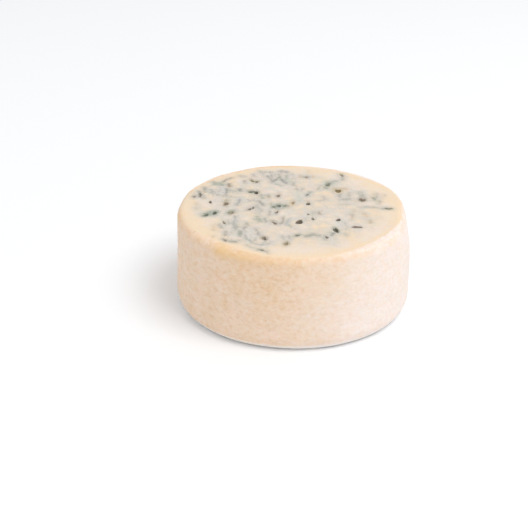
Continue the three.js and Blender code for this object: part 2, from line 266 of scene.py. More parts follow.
STREAKS = (
    # The back left of the face
    Streak(Mould.GREEN, 5.0, 0.42, ((-71, 47), (-66, 45))),
    Streak(Mould.GREY_GREEN, 3.6, 0.38, ((-76, 53), (-71, 49), (-65, 50))),
    Streak(Mould.BROWN_GREY, 1.8, 0.6, ((-65, 51), (-62, 57), (-58, 62))),
    Streak(Mould.BROWN_GREY, 2.2, 0.6, ((-59.5, 48), (-59, 42))),
    Streak(Mould.GREY, 2.6, 0.55, ((-80.5, 38), (-79.5, 30))),
    Streak(Mould.BLUE_GREY, 2.4, 0.55, ((-73, 33), (-72.5, 26))),
    Streak(Mould.BLUE_GREY, 3.5, 0.45, ((-84, 28), (-82, 21), (-80, 16))),
    Streak(Mould.GREY, 1.8, 0.7, ((-60.5, 37), (-60, 29), (-60, 22))),
    Streak(Mould.BLUE_GREY, 3.4, 0.5, ((-58, 33), (-53, 32))),
    Streak(Mould.GREY, 2.4, 0.75, ((-48.5, 37), (-48, 33))),
    Streak(Mould.GREY, 1.4, 0.25, ((-70, 26), (-64, 21), (-56, 20), (-50, 18))),
    Streak(Mould.LILAC, 3.0, 0.5, ((-66, 44), (-64, 36), (-65, 28))),
    Streak(Mould.GREY, 1.6, 0.3, ((-66, 36), (-67, 30))),
    Streak(Mould.BROWN_GREY, 1.8, 0.45, ((-45.5, 56), (-45, 51))),
    Streak(Mould.GREY, 2.4, 0.35, ((-50, 68), (-47, 66))),
    Streak(Mould.GREY, 2.0, 0.35, ((-38.5, 72), (-37.5, 67))),
    Streak(Mould.GREY, 4.0, 0.3, ((-33, 79), (-29, 76))),
    Streak(Mould.GREY, 1.6, 0.25, ((-31, 75), (-28, 69))),
    Streak(Mould.OLIVE, 2.5, 0.15, ((-84, 4), (-83, 0))),
    Streak(Mould.GREY, 2.0, 0.15, ((-84, -5), (-83, -9))),
    # The net of veins at the back
    Streak(Mould.GREY, 4.6, 0.45, ((-13, 79), (-9, 78))),
    Streak(Mould.GREY, 1.6, 0.45, ((-22.5, 76), (-21.5, 66))),
    Streak(Mould.GREY, 2.2, 0.7, ((-14, 66), (-18, 59), (-21, 54))),
    Streak(Mould.GREY_GREEN, 1.4, 0.4, ((-15.5, 73), (-14.5, 66))),
    Streak(Mould.GREY, 2.8, 0.7, ((-13, 61), (-10.5, 56), (-8, 51))),
    Streak(Mould.GREY, 1.6, 0.55, ((-27, 69), (-23, 62), (-20, 55))),
    Streak(Mould.GREY_GREEN, 2.4, 0.35, ((-8, 70), (-7.5, 63), (-9, 58))),
    Streak(Mould.GREY, 1.1, 0.3, ((-19, 73), (-18, 66))),
    Streak(Mould.BROWN_GREY, 1.8, 0.4, ((-2.5, 54), (-1.5, 47))),
    Streak(Mould.GREY_GREEN, 2.0, 0.3, ((-16, 49), (-12.5, 46))),
    Streak(Mould.BROWN_GREY, 1.1, 0.35, ((-1, 50), (1, 44), (2, 37))),
    Streak(Mould.GREY, 1.8, 0.2, ((-3, 74), (-2, 66))),
    Streak(Mould.SAGE, 3.4, 0.25, ((-5, 60), (-4, 54))),
    # The middle
    Streak(Mould.GREY_GREEN, 2.8, 0.42, ((-29.5, 25), (-28.5, 19))),
    Streak(Mould.BROWN_GREY, 2.0, 0.6, ((-23.5, 25.5), (-22.5, 20.5))),
    Streak(Mould.GREY, 1.6, 0.35, ((-41, 14), (-39, 12))),
    Streak(Mould.GREY, 1.6, 0.35, ((-35.5, 14), (-35, 11))),
    Streak(Mould.GREY, 2.0, 0.6, ((-31, 12), (-29, 7), (-28, 3))),
    Streak(Mould.BLUE_GREY, 1.7, 0.5, ((-48, 15), (-48.5, 8), (-50, 2))),
    Streak(Mould.GREY, 2.0, 0.4, ((-33, 3), (-31, -4), (-27, -8))),
    Streak(Mould.GREY, 1.4, 0.25, ((-31, -8), (-33, -14))),
    Streak(Mould.GREY, 2.0, 0.38, ((-21, -9), (-21, -17))),
    Streak(Mould.GREY_GREEN, 4.6, 0.5, ((-18, 2), (-13, 2), (-7, 3))),
    Streak(Mould.GREEN, 1.8, 0.3, ((-20, 6), (-19, -3), (-12, -3), (-6, 0))),
    Streak(Mould.BLUE_GREY, 2.4, 0.35, ((-5, -25), (-6, -33), (-3, -38))),
    Streak(Mould.GREEN, 3.4, 0.3, ((-31, -21), (-30, -26), (-28, -30))),
    Streak(Mould.GREY, 1.8, 0.4, ((-24.5, -23), (-23.5, -30))),
    Streak(Mould.BROWN_GREY, 1.6, 0.45, ((-9.5, -22), (-9.5, -32), (-12, -33))),
    Streak(Mould.BROWN_GREY, 1.2, 0.4, ((-20, -28), (-18, -31))),
    Streak(Mould.BROWN_GREY, 2.2, 0.3, ((11, 13), (11.5, 9))),
    # The front left
    Streak(Mould.GREEN, 3.2, 0.5, ((-76, -20), (-72, -15), (-66, -14))),
    Streak(Mould.OLIVE, 4.6, 0.33, ((-54.5, -17), (-53.5, -12), (-51, -11))),
    Streak(Mould.OLIVE, 3.4, 0.4, ((-59, 11), (-58.5, 6), (-59.5, 0))),
    Streak(Mould.BLUE_GREY, 1.8, 0.5, ((-49.5, -20), (-50, -31), (-49, -43))),
    Streak(Mould.GREY_GREEN, 3.0, 0.3, ((-51, -34), (-47, -40))),
    Streak(Mould.GREY_GREEN, 2.0, 0.3, ((-55, -31), (-54, -37))),
    Streak(Mould.GREY_GREEN, 2.2, 0.45, ((-39.5, -33), (-38, -37))),
    Streak(Mould.GREY, 2.0, 0.5, ((-40, -40), (-41.5, -48))),
    Streak(Mould.GREY_GREEN, 2.4, 0.6, ((-45, -50), (-43, -58))),
    Streak(Mould.GREY, 1.8, 0.45, ((-47, -42), (-47.5, -47))),
    Streak(Mould.GREY, 2.2, 0.5, ((-62, -38), (-60, -44))),
    Streak(Mould.TAN, 1.4, 0.5, ((-66, -42), (-65.5, -49))),
    Streak(Mould.OLIVE, 2.0, 0.22, ((-66.5, -60), (-65.5, -64))),
    Streak(Mould.BROWN_GREY, 1.8, 0.42, ((-56, -51), (-55.5, -59))),
    Streak(Mould.GREY, 1.8, 0.3, ((-51.5, -52), (-50, -54.5))),
    Streak(Mould.GREY_GREEN, 3.2, 0.5, ((-51, -69.5), (-46.5, -71))),
    Streak(Mould.MILK, 5.0, 0.25, ((-37, -48), (-35, -56), (-33, -62))),
    Streak(Mould.BLUE_GREY, 2.2, 0.5, ((-39.5, -57), (-38, -64), (-33.5, -70))),
    Streak(Mould.BLUE_GREY, 1.4, 0.4, ((-33.5, -71), (-28, -74), (-21, -73), (-17.5, -68))),
    Streak(Mould.GREY, 1.8, 0.5, ((-31, -44), (-30, -50), (-28, -56))),
    Streak(Mould.GREY, 1.6, 0.25, ((-40, -50), (-36, -49))),
    Streak(Mould.GREY, 1.6, 0.3, ((-31, -60), (-32, -68))),
    Streak(Mould.GREY_GREEN, 1.8, 0.3, ((-38, -75), (-33, -80), (-28, -82))),
    Streak(Mould.GREY, 2.2, 0.5, ((-28, -83.5), (-22, -86))),
    Streak(Mould.BROWN_GREY, 1.1, 0.3, ((-21.5, -88), (-20, -92))),
    Streak(Mould.LILAC, 3.4, 0.4, ((-19, -66), (-16, -72))),
    Streak(Mould.GREY_GREEN, 2.4, 0.25, ((-9, -57), (-8, -64))),
    Streak(Mould.GREY, 1.6, 0.35, ((-4, -57), (-3.5, -63))),
    # The front right
    Streak(Mould.GREY_GREEN, 3.6, 0.42, ((10, -57), (15, -53), (20, -55))),
    Streak(Mould.GREY_GREEN, 1.4, 0.35, ((20, -54), (24, -58), (26, -64))),
    Streak(Mould.GREY, 2.2, 0.65, ((30, -54), (32, -50))),
    Streak(Mould.GREY, 1.4, 0.3, ((42, -50), (42.5, -56))),
    Streak(Mould.MILK, 3.0, 0.4, ((37.5, -28), (37, -36))),
    Streak(Mould.GREY, 1.5, 0.25, ((42, -28), (43.5, -36), (42.5, -44))),
    Streak(Mould.BROWN_GREY, 2.4, 0.32, ((49, -12), (48, -21))),
    Streak(Mould.TAN, 1.8, 0.35, ((50.5, -3), (50, -7))),
    Streak(Mould.TAN, 2.0, 0.35, ((58, -7), (61, -15))),
    Streak(Mould.OLIVE, 2.0, 0.3, ((63.5, -23), (63.5, -28))),
    Streak(Mould.BROWN_GREY, 1.8, 0.6, ((20.5, -9), (21, -13))),
    Streak(Mould.GREY_GREEN, 1.8, 0.25, ((17, -9), (15, -17))),
    Streak(Mould.GREY, 1.5, 0.2, ((9.5, -20), (12, -28))),
    Streak(Mould.MILK, 3.6, 0.2, ((8, -4), (9, -16), (12, -24))),
    # The back right
    Streak(Mould.GREY, 2.6, 0.3, ((57, 3.5), (63, 4.5), (69, 3.5), (75, 3))),
    Streak(Mould.GREY_GREEN, 3.0, 0.5, ((69, 25), (69.5, 20))),
    Streak(Mould.BROWN_GREY, 2.0, 0.38, ((74, 17), (72.5, 12.5))),
    Streak(Mould.GREY_GREEN, 1.6, 0.3, ((72, 36), (72, 26))),
    Streak(Mould.OLIVE, 1.6, 0.2, ((79, 32), (78, 28))),
    Streak(Mould.GREY_GREEN, 4.2, 0.3, ((57, 36), (58.5, 30), (60, 25))),
    Streak(Mould.TAN, 1.3, 0.3, ((52, 20), (52.5, 12))),
    Streak(Mould.GREY_GREEN, 2.4, 0.35, ((47, 33), (47.5, 28))),
    Streak(Mould.GREY, 1.8, 0.45, ((39, 32), (38.8, 24))),
    Streak(Mould.HONEY, 4.6, 0.35, ((35.5, 41), (40, 43), (45, 42))),
    Streak(Mould.HONEY, 2.4, 0.5, ((34.5, 41), (35, 36))),
    Streak(Mould.GREY_GREEN, 3.4, 0.28, ((47, 22), (43, 18))),
    Streak(Mould.GREY_GREEN, 2.0, 0.2, ((39, 7), (45, 9))),
    Streak(Mould.BROWN_GREY, 1.8, 0.35, ((22.5, 49), (20.5, 40))),
    Streak(Mould.BROWN_GREY, 1.5, 0.25, ((25, 25), (26, 18), (20, 14))),
    Streak(Mould.BROWN_GREY, 1.8, 0.3, ((6.5, 41), (6, 36))),
    Streak(Mould.GREEN, 3.0, 0.4, ((27, 43), (28.5, 50), (31, 56))),
    Streak(Mould.GREY_GREEN, 2.6, 0.35, ((30, 56), (37, 60))),
    Streak(Mould.BROWN_GREY, 2.4, 0.2, ((41, 78), (42.5, 72))),
    Streak(Mould.GREY_GREEN, 2.4, 0.35, ((42.5, 70), (43, 62))),
    Streak(Mould.HONEY, 2.4, 0.3, ((4.5, 66), (4, 70))),
    Streak(Mould.TAN, 1.8, 0.4, ((15, 70), (16, 67))),
    Streak(Mould.TAN, 1.4, 0.25, ((11, 84), (11, 78))),
    Streak(Mould.GREY_GREEN, 3.4, 0.35, ((77, 2.6), (83, 2.4))),
    Streak(Mould.BROWN_GREY, 4.2, 0.3, ((8.5, 67), (11, 67.2))),
    Streak(Mould.GREY_GREEN, 3.2, 0.3, ((41.5, 77), (42.5, 72))),
    Streak(Mould.BLUE_GREY, 3.6, 0.4, ((12.5, 33), (10.5, 26))),
    Streak(Mould.HONEY, 3.4, 0.5, ((-2, 14), (-1.5, 6))),
    Streak(Mould.SAGE, 3.6, 0.25, ((2, 33), (3.5, 22), (4, 12))),
)

# Where fine mould greys the face, by tint: x, y, half width, half depth and strength
CLOUD_PLACES = {
    Mould.SAGE: (
        (-69.5, 47.5, 7, 6, 0.8), (-14, 2, 9, 7, 0.55), (-70.5, -17, 8, 7, 0.7), (-53.5, -13, 6, 6, 0.45),
        (-29, -26, 6, 6, 0.5), (31, 53, 7, 7, 0.55),
    ),
    Mould.DOVE: (
        (-62, 57, 5, 8, 0.4), (-79, 31, 6, 9, 0.6), (-51, 33, 8, 5, 0.5), (-49, 67, 7, 5, 0.35),
        (-31, 77, 9, 7, 0.5), (-15, 68, 8, 8, 0.55), (-11, 79, 6, 5, 0.6), (-9, 55, 4, 7, 0.5),
        (-27, 23, 7, 7, 0.4), (-30, 9, 6, 8, 0.5), (-84, -6, 5, 7, 0.25), (-43, -55, 5, 7, 0.4),
        (-49, -69, 8, 4, 0.55), (-14, -30, 7, 6, 0.4), (15, -55, 10, 4, 0.6), (33, -51, 6, 4, 0.4),
        (66, 4, 12, 4, 0.45), (45, 17, 8, 7, 0.4), (58, 31, 5, 8, 0.55), (70, 24, 6, 8, 0.5),
        (43, 70, 5, 9, 0.45), (-89, 24, 7, 12, 0.6), (-85, 39, 8, 12, 0.6), (-76, 52, 8, 10, 0.45),
        (-66, 65, 8, 7, 0.4), (-52, 76, 8, 6, 0.3), (-34, 86, 12, 6, 0.4), (-10, 92, 14, 6, 0.25),
        (30, 88, 14, 6, 0.2), (47, 79, 8, 5, 0.3),
    ),
    Mould.LILAC: (
        (-63, 33, 10, 10, 0.6), (-71, 20, 12, 8, 0.35), (-48, 50, 9, 8, 0.3), (-36, 64, 8, 7, 0.3),
        (-3, 68, 7, 10, 0.3), (-1, 45, 5, 12, 0.4), (-27, 38, 12, 7, 0.2), (-50, 9, 9, 12, 0.5),
        (-40, 15, 8, 5, 0.35), (-22, -13, 7, 8, 0.45), (-61, 1, 6, 9, 0.25), (-59, -38, 6, 8, 0.35),
        (-53, -54, 8, 7, 0.4), (-30, -73, 11, 5, 0.5), (-27, -83, 8, 4, 0.4), (-7, -60, 7, 7, 0.4),
        (2, -42, 8, 8, 0.25), (27, -67, 12, 8, 0.35), (8, -68, 9, 7, 0.25), (52, -36, 8, 5, 0.4),
        (30, -8, 14, 8, 0.25), (49, -14, 6, 9, 0.35), (28, 17, 12, 7, 0.4), (41, 26, 8, 8, 0.45),
        (21, 45, 5, 8, 0.35), (10, 68, 9, 6, 0.35), (60, -12, 6, 8, 0.2), (32, -68, 7, 9, 0.45),
        (24, -60, 6, 7, 0.3), (30, 2, 16, 8, 0.3), (-72, 12, 8, 8, 0.3), (-36, 48, 12, 10, 0.25),
        (-83, -12, 6, 12, 0.3),
    ),
    Mould.MILK: (
        (-16, 58, 12, 10, 0.65), (3, 22, 6, 14, 0.6), (-22, 12, 10, 6, 0.45), (-28, -4, 8, 8, 0.5),
        (-50, -34, 7, 13, 0.65), (-36, -57, 8, 11, 0.75), (-3, -27, 6, 12, 0.55), (13, -18, 8, 10, 0.5),
        (38, -34, 7, 11, 0.5), (11, 29, 5, 6, 0.4), (-77.5, -12.5, 2.6, 2.6, 0.7), (-25, -75, 8, 5, 0.4),
        (-32, -82, 9, 4, 0.4), (40, 0, 8, 8, 0.3),
    ),
}

CLOUDS = tuple(Cloud(tint, *place) for tint, places in CLOUD_PLACES.items() for place in places)

BLOTCHES = (
    Blotch(-125, 3.5, 9, 6, 0.62),
    Blotch(-115, 4, 12, 4, 0.4),
    Blotch(-148, 2, 14, 4, 0.12),
    Blotch(-104, 4, 16, 4, 0.22),
    Blotch(-90, 4, 14, 3, 0.1),
    Blotch(-170, 3, 9, 7, 0.4),
    Blotch(-141, 5, 8, 4, 0.12),
    Blotch(158, 4, 14, 4, 0.5),
    Blotch(121, 6, 18, 4, 0.4),
    Blotch(96, 3, 9, 5, 0.6),
    Blotch(64, 6, 16, 4, 0.35),
    Blotch(31, 5, 12, 4, 0.4),
)

WRINKLES = (
    Wrinkle((-141, 52), (-130, 43), 0.3, 1.3),
    Wrinkle((-150, 30), (-143, 24), 0.2, 1.4),
    Wrinkle((-96, 66), (-86, 70), 0.2, 1.6),
    Wrinkle((-52, 20), (-44, 26), 0.2, 1.5),
    Wrinkle((20, 58), (33, 49), 0.3, 1.5),
    Wrinkle((74, 22), (88, 27), 0.25, 1.6),
    Wrinkle((128, 60), (139, 66), 0.3, 1.4),
    Wrinkle((166, 34), (158, 42), 0.25, 1.4),
)


@dataclass(frozen=True)
class WheelForm:
    """The wheel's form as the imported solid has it, in millimetres and radians."""

    face_radius: float = 100.0
    height: float = 84.4
    foot_spread: float = 1.5
    rim_round: float = 6.3
    foot_round: float = 14.0
    foot_sink: float = 1.4
    cut_rise: float = 0.3
    worn_depth: float = 8.0
    worn_drop: float = 50.0
    worn_curve: float = 3.0
    worn_at: float = math.radians(-4)
    worn_spread: float = math.radians(20)
    side_waves: tuple[tuple[float, int, float, float], ...] = (
        (0.35, 2, 0.6, 0.004),
        (0.25, 3, 2.1, -0.012),
        (0.4, 4, -1.6, 0.004),
        (0.1, 9, 1.3, -0.05),
        (0.08, 14, 5.2, 0.09),
    )
    face_waves: tuple[tuple[float, float, float, float], ...] = (
        (0.22, 20, 120, 0.4),
        (0.12, 105, 62, 2.2),
        (0.08, 60, 38, 4.4),
    )
    borders: tuple[Point, ...] = (
        (-180, 3.5),
        (-150, 3.5),
        (-140, 1),
        (-127, -0.8),
        (-113, 1.7),
        (-99, 2.8),
        (-86, 2.6),
        (-74, 3),
        (-60, -0.8),
        (-50, -3),
        (-40, -3.5),
        (-25, -1.8),
        (-12, 3),
        (5, 4),
        (25, 3),
        (45, 0),
        (65, -2.5),
        (90, -3),
        (120, -2),
        (150, 0),
        (180, 3.5),
    )

    @property
    def flat_radius(self) -> float:
        """The radius at which the cut face begins to round over into the side."""
        return self.face_radius - self.rim_round

    @property
    def foot_radius(self) -> float:
        """The radius of the side just above the rounded foot."""
        return self.face_radius + self.foot_spread

    @property
    def stand_radius(self) -> float:
        """The radius of the flat underside."""
        spread = math.sqrt(self.foot_round**2 - self.foot_centre**2)
        return self.foot_radius - self.foot_round + spread

    @property
    def foot_centre(self) -> float:
        """The height of the middle of the foot's rounding, which the wheel's weight presses flat below."""
        return self.foot_round - self.foot_sink

    def run(self, radius: float, z: float) -> float:
        """Gives the way down over the true round wheel's skin from the edge of its flat face.

        Args:
            radius: The radius of a place on the rim, the side or the foot.
            z: Its height.

        Returns:
            The way's length.
        """
        rim_height = self.height - self.rim_round
        if z > rim_height:
            return self.rim_round * math.atan2(radius - self.flat_radius, z - rim_height)
        under = self.foot_radius - radius if z < self.foot_centre else 0.0
        return self.rim_round * math.pi / 2 + rim_height - z + under

    def border(self, angle: np.ndarray) -> np.ndarray:
        """Gives how far over the rim the paste's colour gives way to the rind's, in mm past the flat face's edge.

        Args:
            angle: The directions round the wheel.

        Returns:
            The distances.
        """
        directions, distances = zip(*self.borders)
        return np.interp(np.degrees(angle), directions, distances)

    def side_wave(self, angle: float, z: float) -> float:
        """Gives how far the side stands out in its gentle waves.

        Args:
            angle: The direction round the wheel.
            z: The height.

        Returns:
            The distance outwards.
        """
        return sum(
            height * math.sin(count * angle + phase + twist * z)
            for height, count, phase, twist in self.side_waves
        )

    def face_rise(self, x: float, y: float) -> float:
        """Gives the cut face's height over the wheel's height.

        Args:
            x: The place from left to right.
            y: The place from front to back.

        Returns:
            The rise from the slope and the gentle waves.
        """
        rise = self.cut_rise * x / self.face_radius
        for height, direction, length, phase in self.face_waves:
            turn = math.radians(direction)
            along = x * math.cos(turn) + y * math.sin(turn)
            rise += height * math.sin(2 * math.pi * along / length + phase)
        return rise

    def worn_away(self, angle: float, z: float) -> float:
        """Gives how far the worn place presses the side in.

        Args:
            angle: The direction round the wheel.
            z: The height.

        Returns:
            The distance inwards.
        """
        away = math.remainder(angle - self.worn_at, 2 * math.pi)
        near = math.exp(-((away / self.worn_spread) ** 2))
        high = min(max((z - (self.height - self.worn_drop)) / self.worn_drop, 0.0), 1.0)
        return self.worn_depth * near * high**self.worn_curve

    def uneven(self, point: Vector) -> Vector:
        """Turns a point of the true round wheel into one of the uneven real wheel.

        Args:
            point: A point of the round wheel.

        Returns:
            Where it goes.
        """
        radius = math.hypot(point.x, point.y)
        angle = math.atan2(point.y, point.x)
        outward = (radius / self.face_radius) ** 4
        moved = (self.side_wave(angle, point.z) - self.worn_away(angle, point.z)) * outward
        share = (radius + moved) / max(radius, 1e-9)
        low, high = self.foot_round, self.height - self.rim_round
        up = min(max((point.z - low) / (high - low), 0.0), 1.0)
        up = up * up * (3 - 2 * up)
        rise = up * self.face_rise(point.x, point.y)
        return Vector((point.x * share, point.y * share, point.z + rise))


class MouldPaint:
    """Works out where mould shows on the cut face: veins, the haze round them and the pockets' linings."""

    reach = 6.0
    sway = 0.9
    sway_size = 6.0
    boldness = 1.25
    halo_reach = 1.4
    halo_strength = 0.5
    haze_reach = 4.5
    haze_strength = 0.3
    pull = 1.6
    full_pull = 3.0
    mouth_reach = 1.5
    lining_from = 0.15
    lining_full = 1.3

    def __init__(self, x: np.ndarray, y: np.ndarray) -> None:
        """Measures how far the mesh's points are from every streak and pocket.

        Args:
            x: The points' places from left to right, in millimetres.
            y: Their places from front to back.
        """
        self.x, self.y = x, y
        swayed_x, swayed_y = self._swayed()
        self.depths = np.array([streak.width / 2 - streak.distance(swayed_x, swayed_y) for streak in STREAKS])
        self.mouths = np.array([np.hypot(*pocket.local(x, y)) for pocket in POCKETS])
        spans = np.array([(pocket.length + pocket.width) / 4 for pocket in POCKETS])
        self.beyond = (self.mouths - 1) * spans[:, None]

    def _swayed(self) -> tuple[np.ndarray, np.ndarray]:
        """Shifts the points a little by noise, so that lines measured from them wander.

        Returns:
            The shifted places.
        """
        shift = np.array([
            noise.noise_vector(Vector((a, b, 7.0)) / self.sway_size)
            + 0.5 * noise.noise_vector(Vector((a, b, 3.0)) * 2.2 / self.sway_size)
            for a, b in zip(self.x, self.y)
        ])
        return self.x + self.sway * shift[:, 0], self.y + self.sway * shift[:, 1]

    def vein_depth(self) -> np.ndarray:
        """Gives how far inside the nearest vein or halo each point is, in millimetres, outside negative.

        Returns:
            The depths, no less than the reach below zero.
        """
        halos = np.array([self.halo_reach - beyond for pocket, beyond in zip(POCKETS, self.beyond) if pocket.halo])
        deepest = np.maximum(self.depths.max(axis=0), halos.max(axis=0))
        return np.maximum(deepest, -self.reach)

    def _nearness(self, depth: np.ndarray) -> np.ndarray:
        """Gives how strongly a vein or halo pulls at each point's colour.

        Args:
            depth: How far inside it each point is, in millimetres, outside negative.

        Returns:
            The pull, which is only set against that of the others.
        """
        return np.exp(np.clip(depth, -self.reach, self.full_pull) * self.pull)

    def veins(self) -> tuple[np.ndarray, np.ndarray]:
        """Mixes the colours and strengths of the veins and halos near each point.

        Returns:
            The colours, and how strongly each shows.
        """
        near = [self._nearness(depth) for depth in self.depths]
        colours = [streak.mould.value for streak in STREAKS]
        strengths = [min(streak.strength * self.boldness, 1.0) for streak in STREAKS]
        for pocket, beyond in zip(POCKETS, self.beyond):
            if pocket.halo:
                near.append(self._nearness(self.halo_reach - beyond))
                colours.append(pocket.halo.value)
                strengths.append(self.halo_strength)
        weights = np.array(near) + 1e-9
        weights /= weights.sum(axis=0)
        return weights.T @ np.array(colours), weights.T @ np.array(strengths)

    def haze(self) -> tuple[np.ndarray, np.ndarray]:
        """Mixes the pale haze of fine mould: the clouds, and what surrounds the veins and pockets.

        Returns:
            The haze's colour, and its thickness from 0 to 1.
        """
        layers = [(cloud.tint.value, cloud.thickness(self.x, self.y)) for cloud in CLOUDS]
        for streak, depth in zip(STREAKS, self.depths):
            share = self.haze_strength * (0.35 + streak.strength)
            layers.append((Mould.DOVE.value, share * np.exp(-((np.minimum(depth, 0) / self.haze_reach) ** 2))))
        for beyond in self.beyond:
            share = self.haze_strength * np.exp(-((np.maximum(beyond, 0) / self.haze_reach) ** 2))
            layers.append((Mould.DOVE.value, share))
        thickness = np.array([layer for _, layer in layers])
        weights = (thickness + 1e-6) / (thickness + 1e-6).sum(axis=0)
        return weights.T @ np.array([tint for tint, _ in layers]), 1 - np.prod(1 - thickness, axis=0)

    def linings(self, below: np.ndarray) -> tuple[np.ndarray, np.ndarray]:
        """Picks the colours of the pockets' walls.

        Args:
            below: How far each point is below the cut face.

        Returns:
            The colours, and how strongly each shows.
        """
        nearest = self.mouths.argmin(axis=0)
        colour = np.array([pocket.lining.value for pocket in POCKETS])[nearest]
        shade = np.array([pocket.shade for pocket in POCKETS])[nearest]
        inside = self.mouths.min(axis=0) < self.mouth_reach
        return colour, np.where(inside, shade * ease(below, self.lining_from, self.lining_full), 0)


@dataclass
class CheeseWheel:
    """The whole wheel: its closed skin, the pockets cut into it, its painted marks and its finish."""

    form: WheelForm = field(default_factory=WheelForm)
    face_cells: int = 176
    rim_rows: int = 9
    side_rows: int = 40
    foot_rows: int = 12
    skin: float = 0.2
    pebble: float = 2.9
    lump: float = 7.5
    swell: float = 26.0
    face_grain: float = 0.11
    lip_sag: float = 0.3
    lip_reach: float = 2.2
    sliver: float = 0.02
    even_rounds: int = 6
    under_rings: tuple[float, ...] = (0.97, 0.75, 0.5)
    lip_search: float = 10.0
    large_pocket: float = 6.2
    pocket_lobes: tuple[Point, ...] = ((0.13, 2), (0.11, 3), (0.07, 5))
    lobe_turn: float = 2.4
    deepest: float = 12.0
    crisp_angle: float = math.radians(48)
    obj: bpy.types.Object | None = None

    def build(self) -> bpy.types.Object:
        """Makes the wheel's mesh, paints it, lays out its map and ties it to the frame.

        Returns:
            The finished piece.
        """
        wheel = self._skin()
        for hollows in self._layers_apart():
            wheel = self._cut(wheel, hollows)
        self.obj = wheel
        log.info("wheel cut: %d points, %d faces", len(wheel.data.vertices), len(wheel.data.polygons))
        self._paint()
        self._smooth()
        self._to_metres()
        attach(wheel, BODY)
        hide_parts(NODE)
        return wheel

    def _skin(self) -> bpy.types.Object:
        """Makes the closed wheel with its relief, before the pockets are cut.

        Returns:
            The wheel's object.
        """
        bm = bmesh.new()
        self._make_face(bm)
        ring = [edge for edge in bm.edges if edge.is_boundary]
        for radius, height in self._profile():
            ring = self._extend(bm, ring, radius, height)
        self._make_underside(bm, ring)
        bmesh.ops.recalc_face_normals(bm, faces=bm.faces)
        AtlasLayout(self.form).lay_out_wheel(bm)
        self._shape(bm)
        return self._object(PIECE, bm)

    def _make_face(self, bm: bmesh.types.BMesh) -> None:
        """Makes the flat cut face as a grid drawn out to a disc, with even cells.

        Args:
            bm: The mesh to add to.
        """
        cells = self.face_cells
        made = bmesh.ops.create_grid(bm, x_segments=cells, y_segments=cells, size=1)["verts"]
        for point in made:
            point.co = self._on_disc(point.co.x, point.co.y) * self.form.flat_radius
        inner = [point for point in made if not point.is_boundary]
        for _ in range(self.even_rounds):
            bmesh.ops.smooth_vert(bm, verts=inner, factor=0.5, use_axis_x=True, use_axis_y=True)
        bmesh.ops.translate(bm, verts=made, vec=(0, 0, self.form.height))

    @staticmethod
    def _on_disc(x: float, y: float) -> Vector:
        """Carries a point of the square from -1 to 1 to the unit disc, with equal areas.

        Args:
            x: The point's first coordinate.
            y: Its second.

        Returns:
            The point on the disc.
        """
        if abs(x) < 1e-9 and abs(y) < 1e-9:
            return Vector((0, 0, 0))
        if abs(x) >= abs(y):
            return Vector((x * math.cos(math.pi / 4 * y / x), x * math.sin(math.pi / 4 * y / x), 0))
        return Vector((y * math.sin(math.pi / 4 * x / y), y * math.cos(math.pi / 4 * x / y), 0))

    def _profile(self) -> list[Point]:
        """Works out the half section from the edge of the cut face down to the flat underside.

        Returns:
            The radius and height of each ring of points.
        """
        form = self.form
        rim_height = form.height - form.rim_round
        rim = [
            (
                form.flat_radius + form.rim_round * math.sin(turn),
                rim_height + form.rim_round * math.cos(turn),
            )
            for turn in (math.pi / 2 * i / self.rim_rows for i in range(1, self.rim_rows + 1))
        ]
        side = [
            (
                form.face_radius + form.foot_spread * share,
                rim_height + (form.foot_centre - rim_height) * share,
            )
            for share in (i / self.side_rows for i in range(1, self.side_rows + 1))
        ]
        foot_turn = math.asin(form.foot_centre / form.foot_round)
        foot = [
            (
                form.foot_radius - form.foot_round + form.foot_round * math.cos(turn),
                form.foot_centre - form.foot_round * math.sin(turn),
            )
            for turn in (foot_turn * i / self.foot_rows for i in range(1, self.foot_rows + 1))
        ]
        return rim + side + foot

    @staticmethod
    def _extend(bm: bmesh.types.BMesh, ring: list, radius: float, height: float) -> list:
        """Extrudes an open ring of edges to a new radius and height.

        Args:
            bm: The mesh.
            ring: The edges of the open ring.
            radius: The new ring's radius.
            height: The new ring's height.

        Returns:
            The edges of the new open ring.
        """
        made = bmesh.ops.extrude_edge_only(bm, edges=ring)["geom"]
        for point in (part for part in made if isinstance(part, bmesh.types.BMVert)):
            angle = math.atan2(point.co.y, point.co.x)
            point.co = (radius * math.cos(angle), radius * math.sin(angle), height)
        return [part for part in made if isinstance(part, bmesh.types.BMEdge) and part.is_boundary]

    def _make_underside(self, bm: bmesh.types.BMesh, ring: list) -> None:
        """Closes the flat underside with rings drawn inwards and a plain middle.

        Args:
            bm: The mesh.
            ring: The foot's last ring of edges.
        """
        for share in self.under_rings:
            ring = self._extend(bm, ring, self.form.stand_radius * share, 0)
        bmesh.ops.holes_fill(bm, edges=ring)

    def _shape(self, bm: bmesh.types.BMesh) -> None:
        """Moves every point to the uneven real wheel, and raises the skin's fine relief.

        Args:
            bm: The mesh of the true round wheel.
        """
        bm.normal_update()
        form = self.form
        for point in bm.verts:
            if point.co.z < 1e-6:
                continue
            fine = self._relief(point.co, point.normal)
            normal = point.normal.copy()
            point.co = form.uneven(point.co) + normal * fine

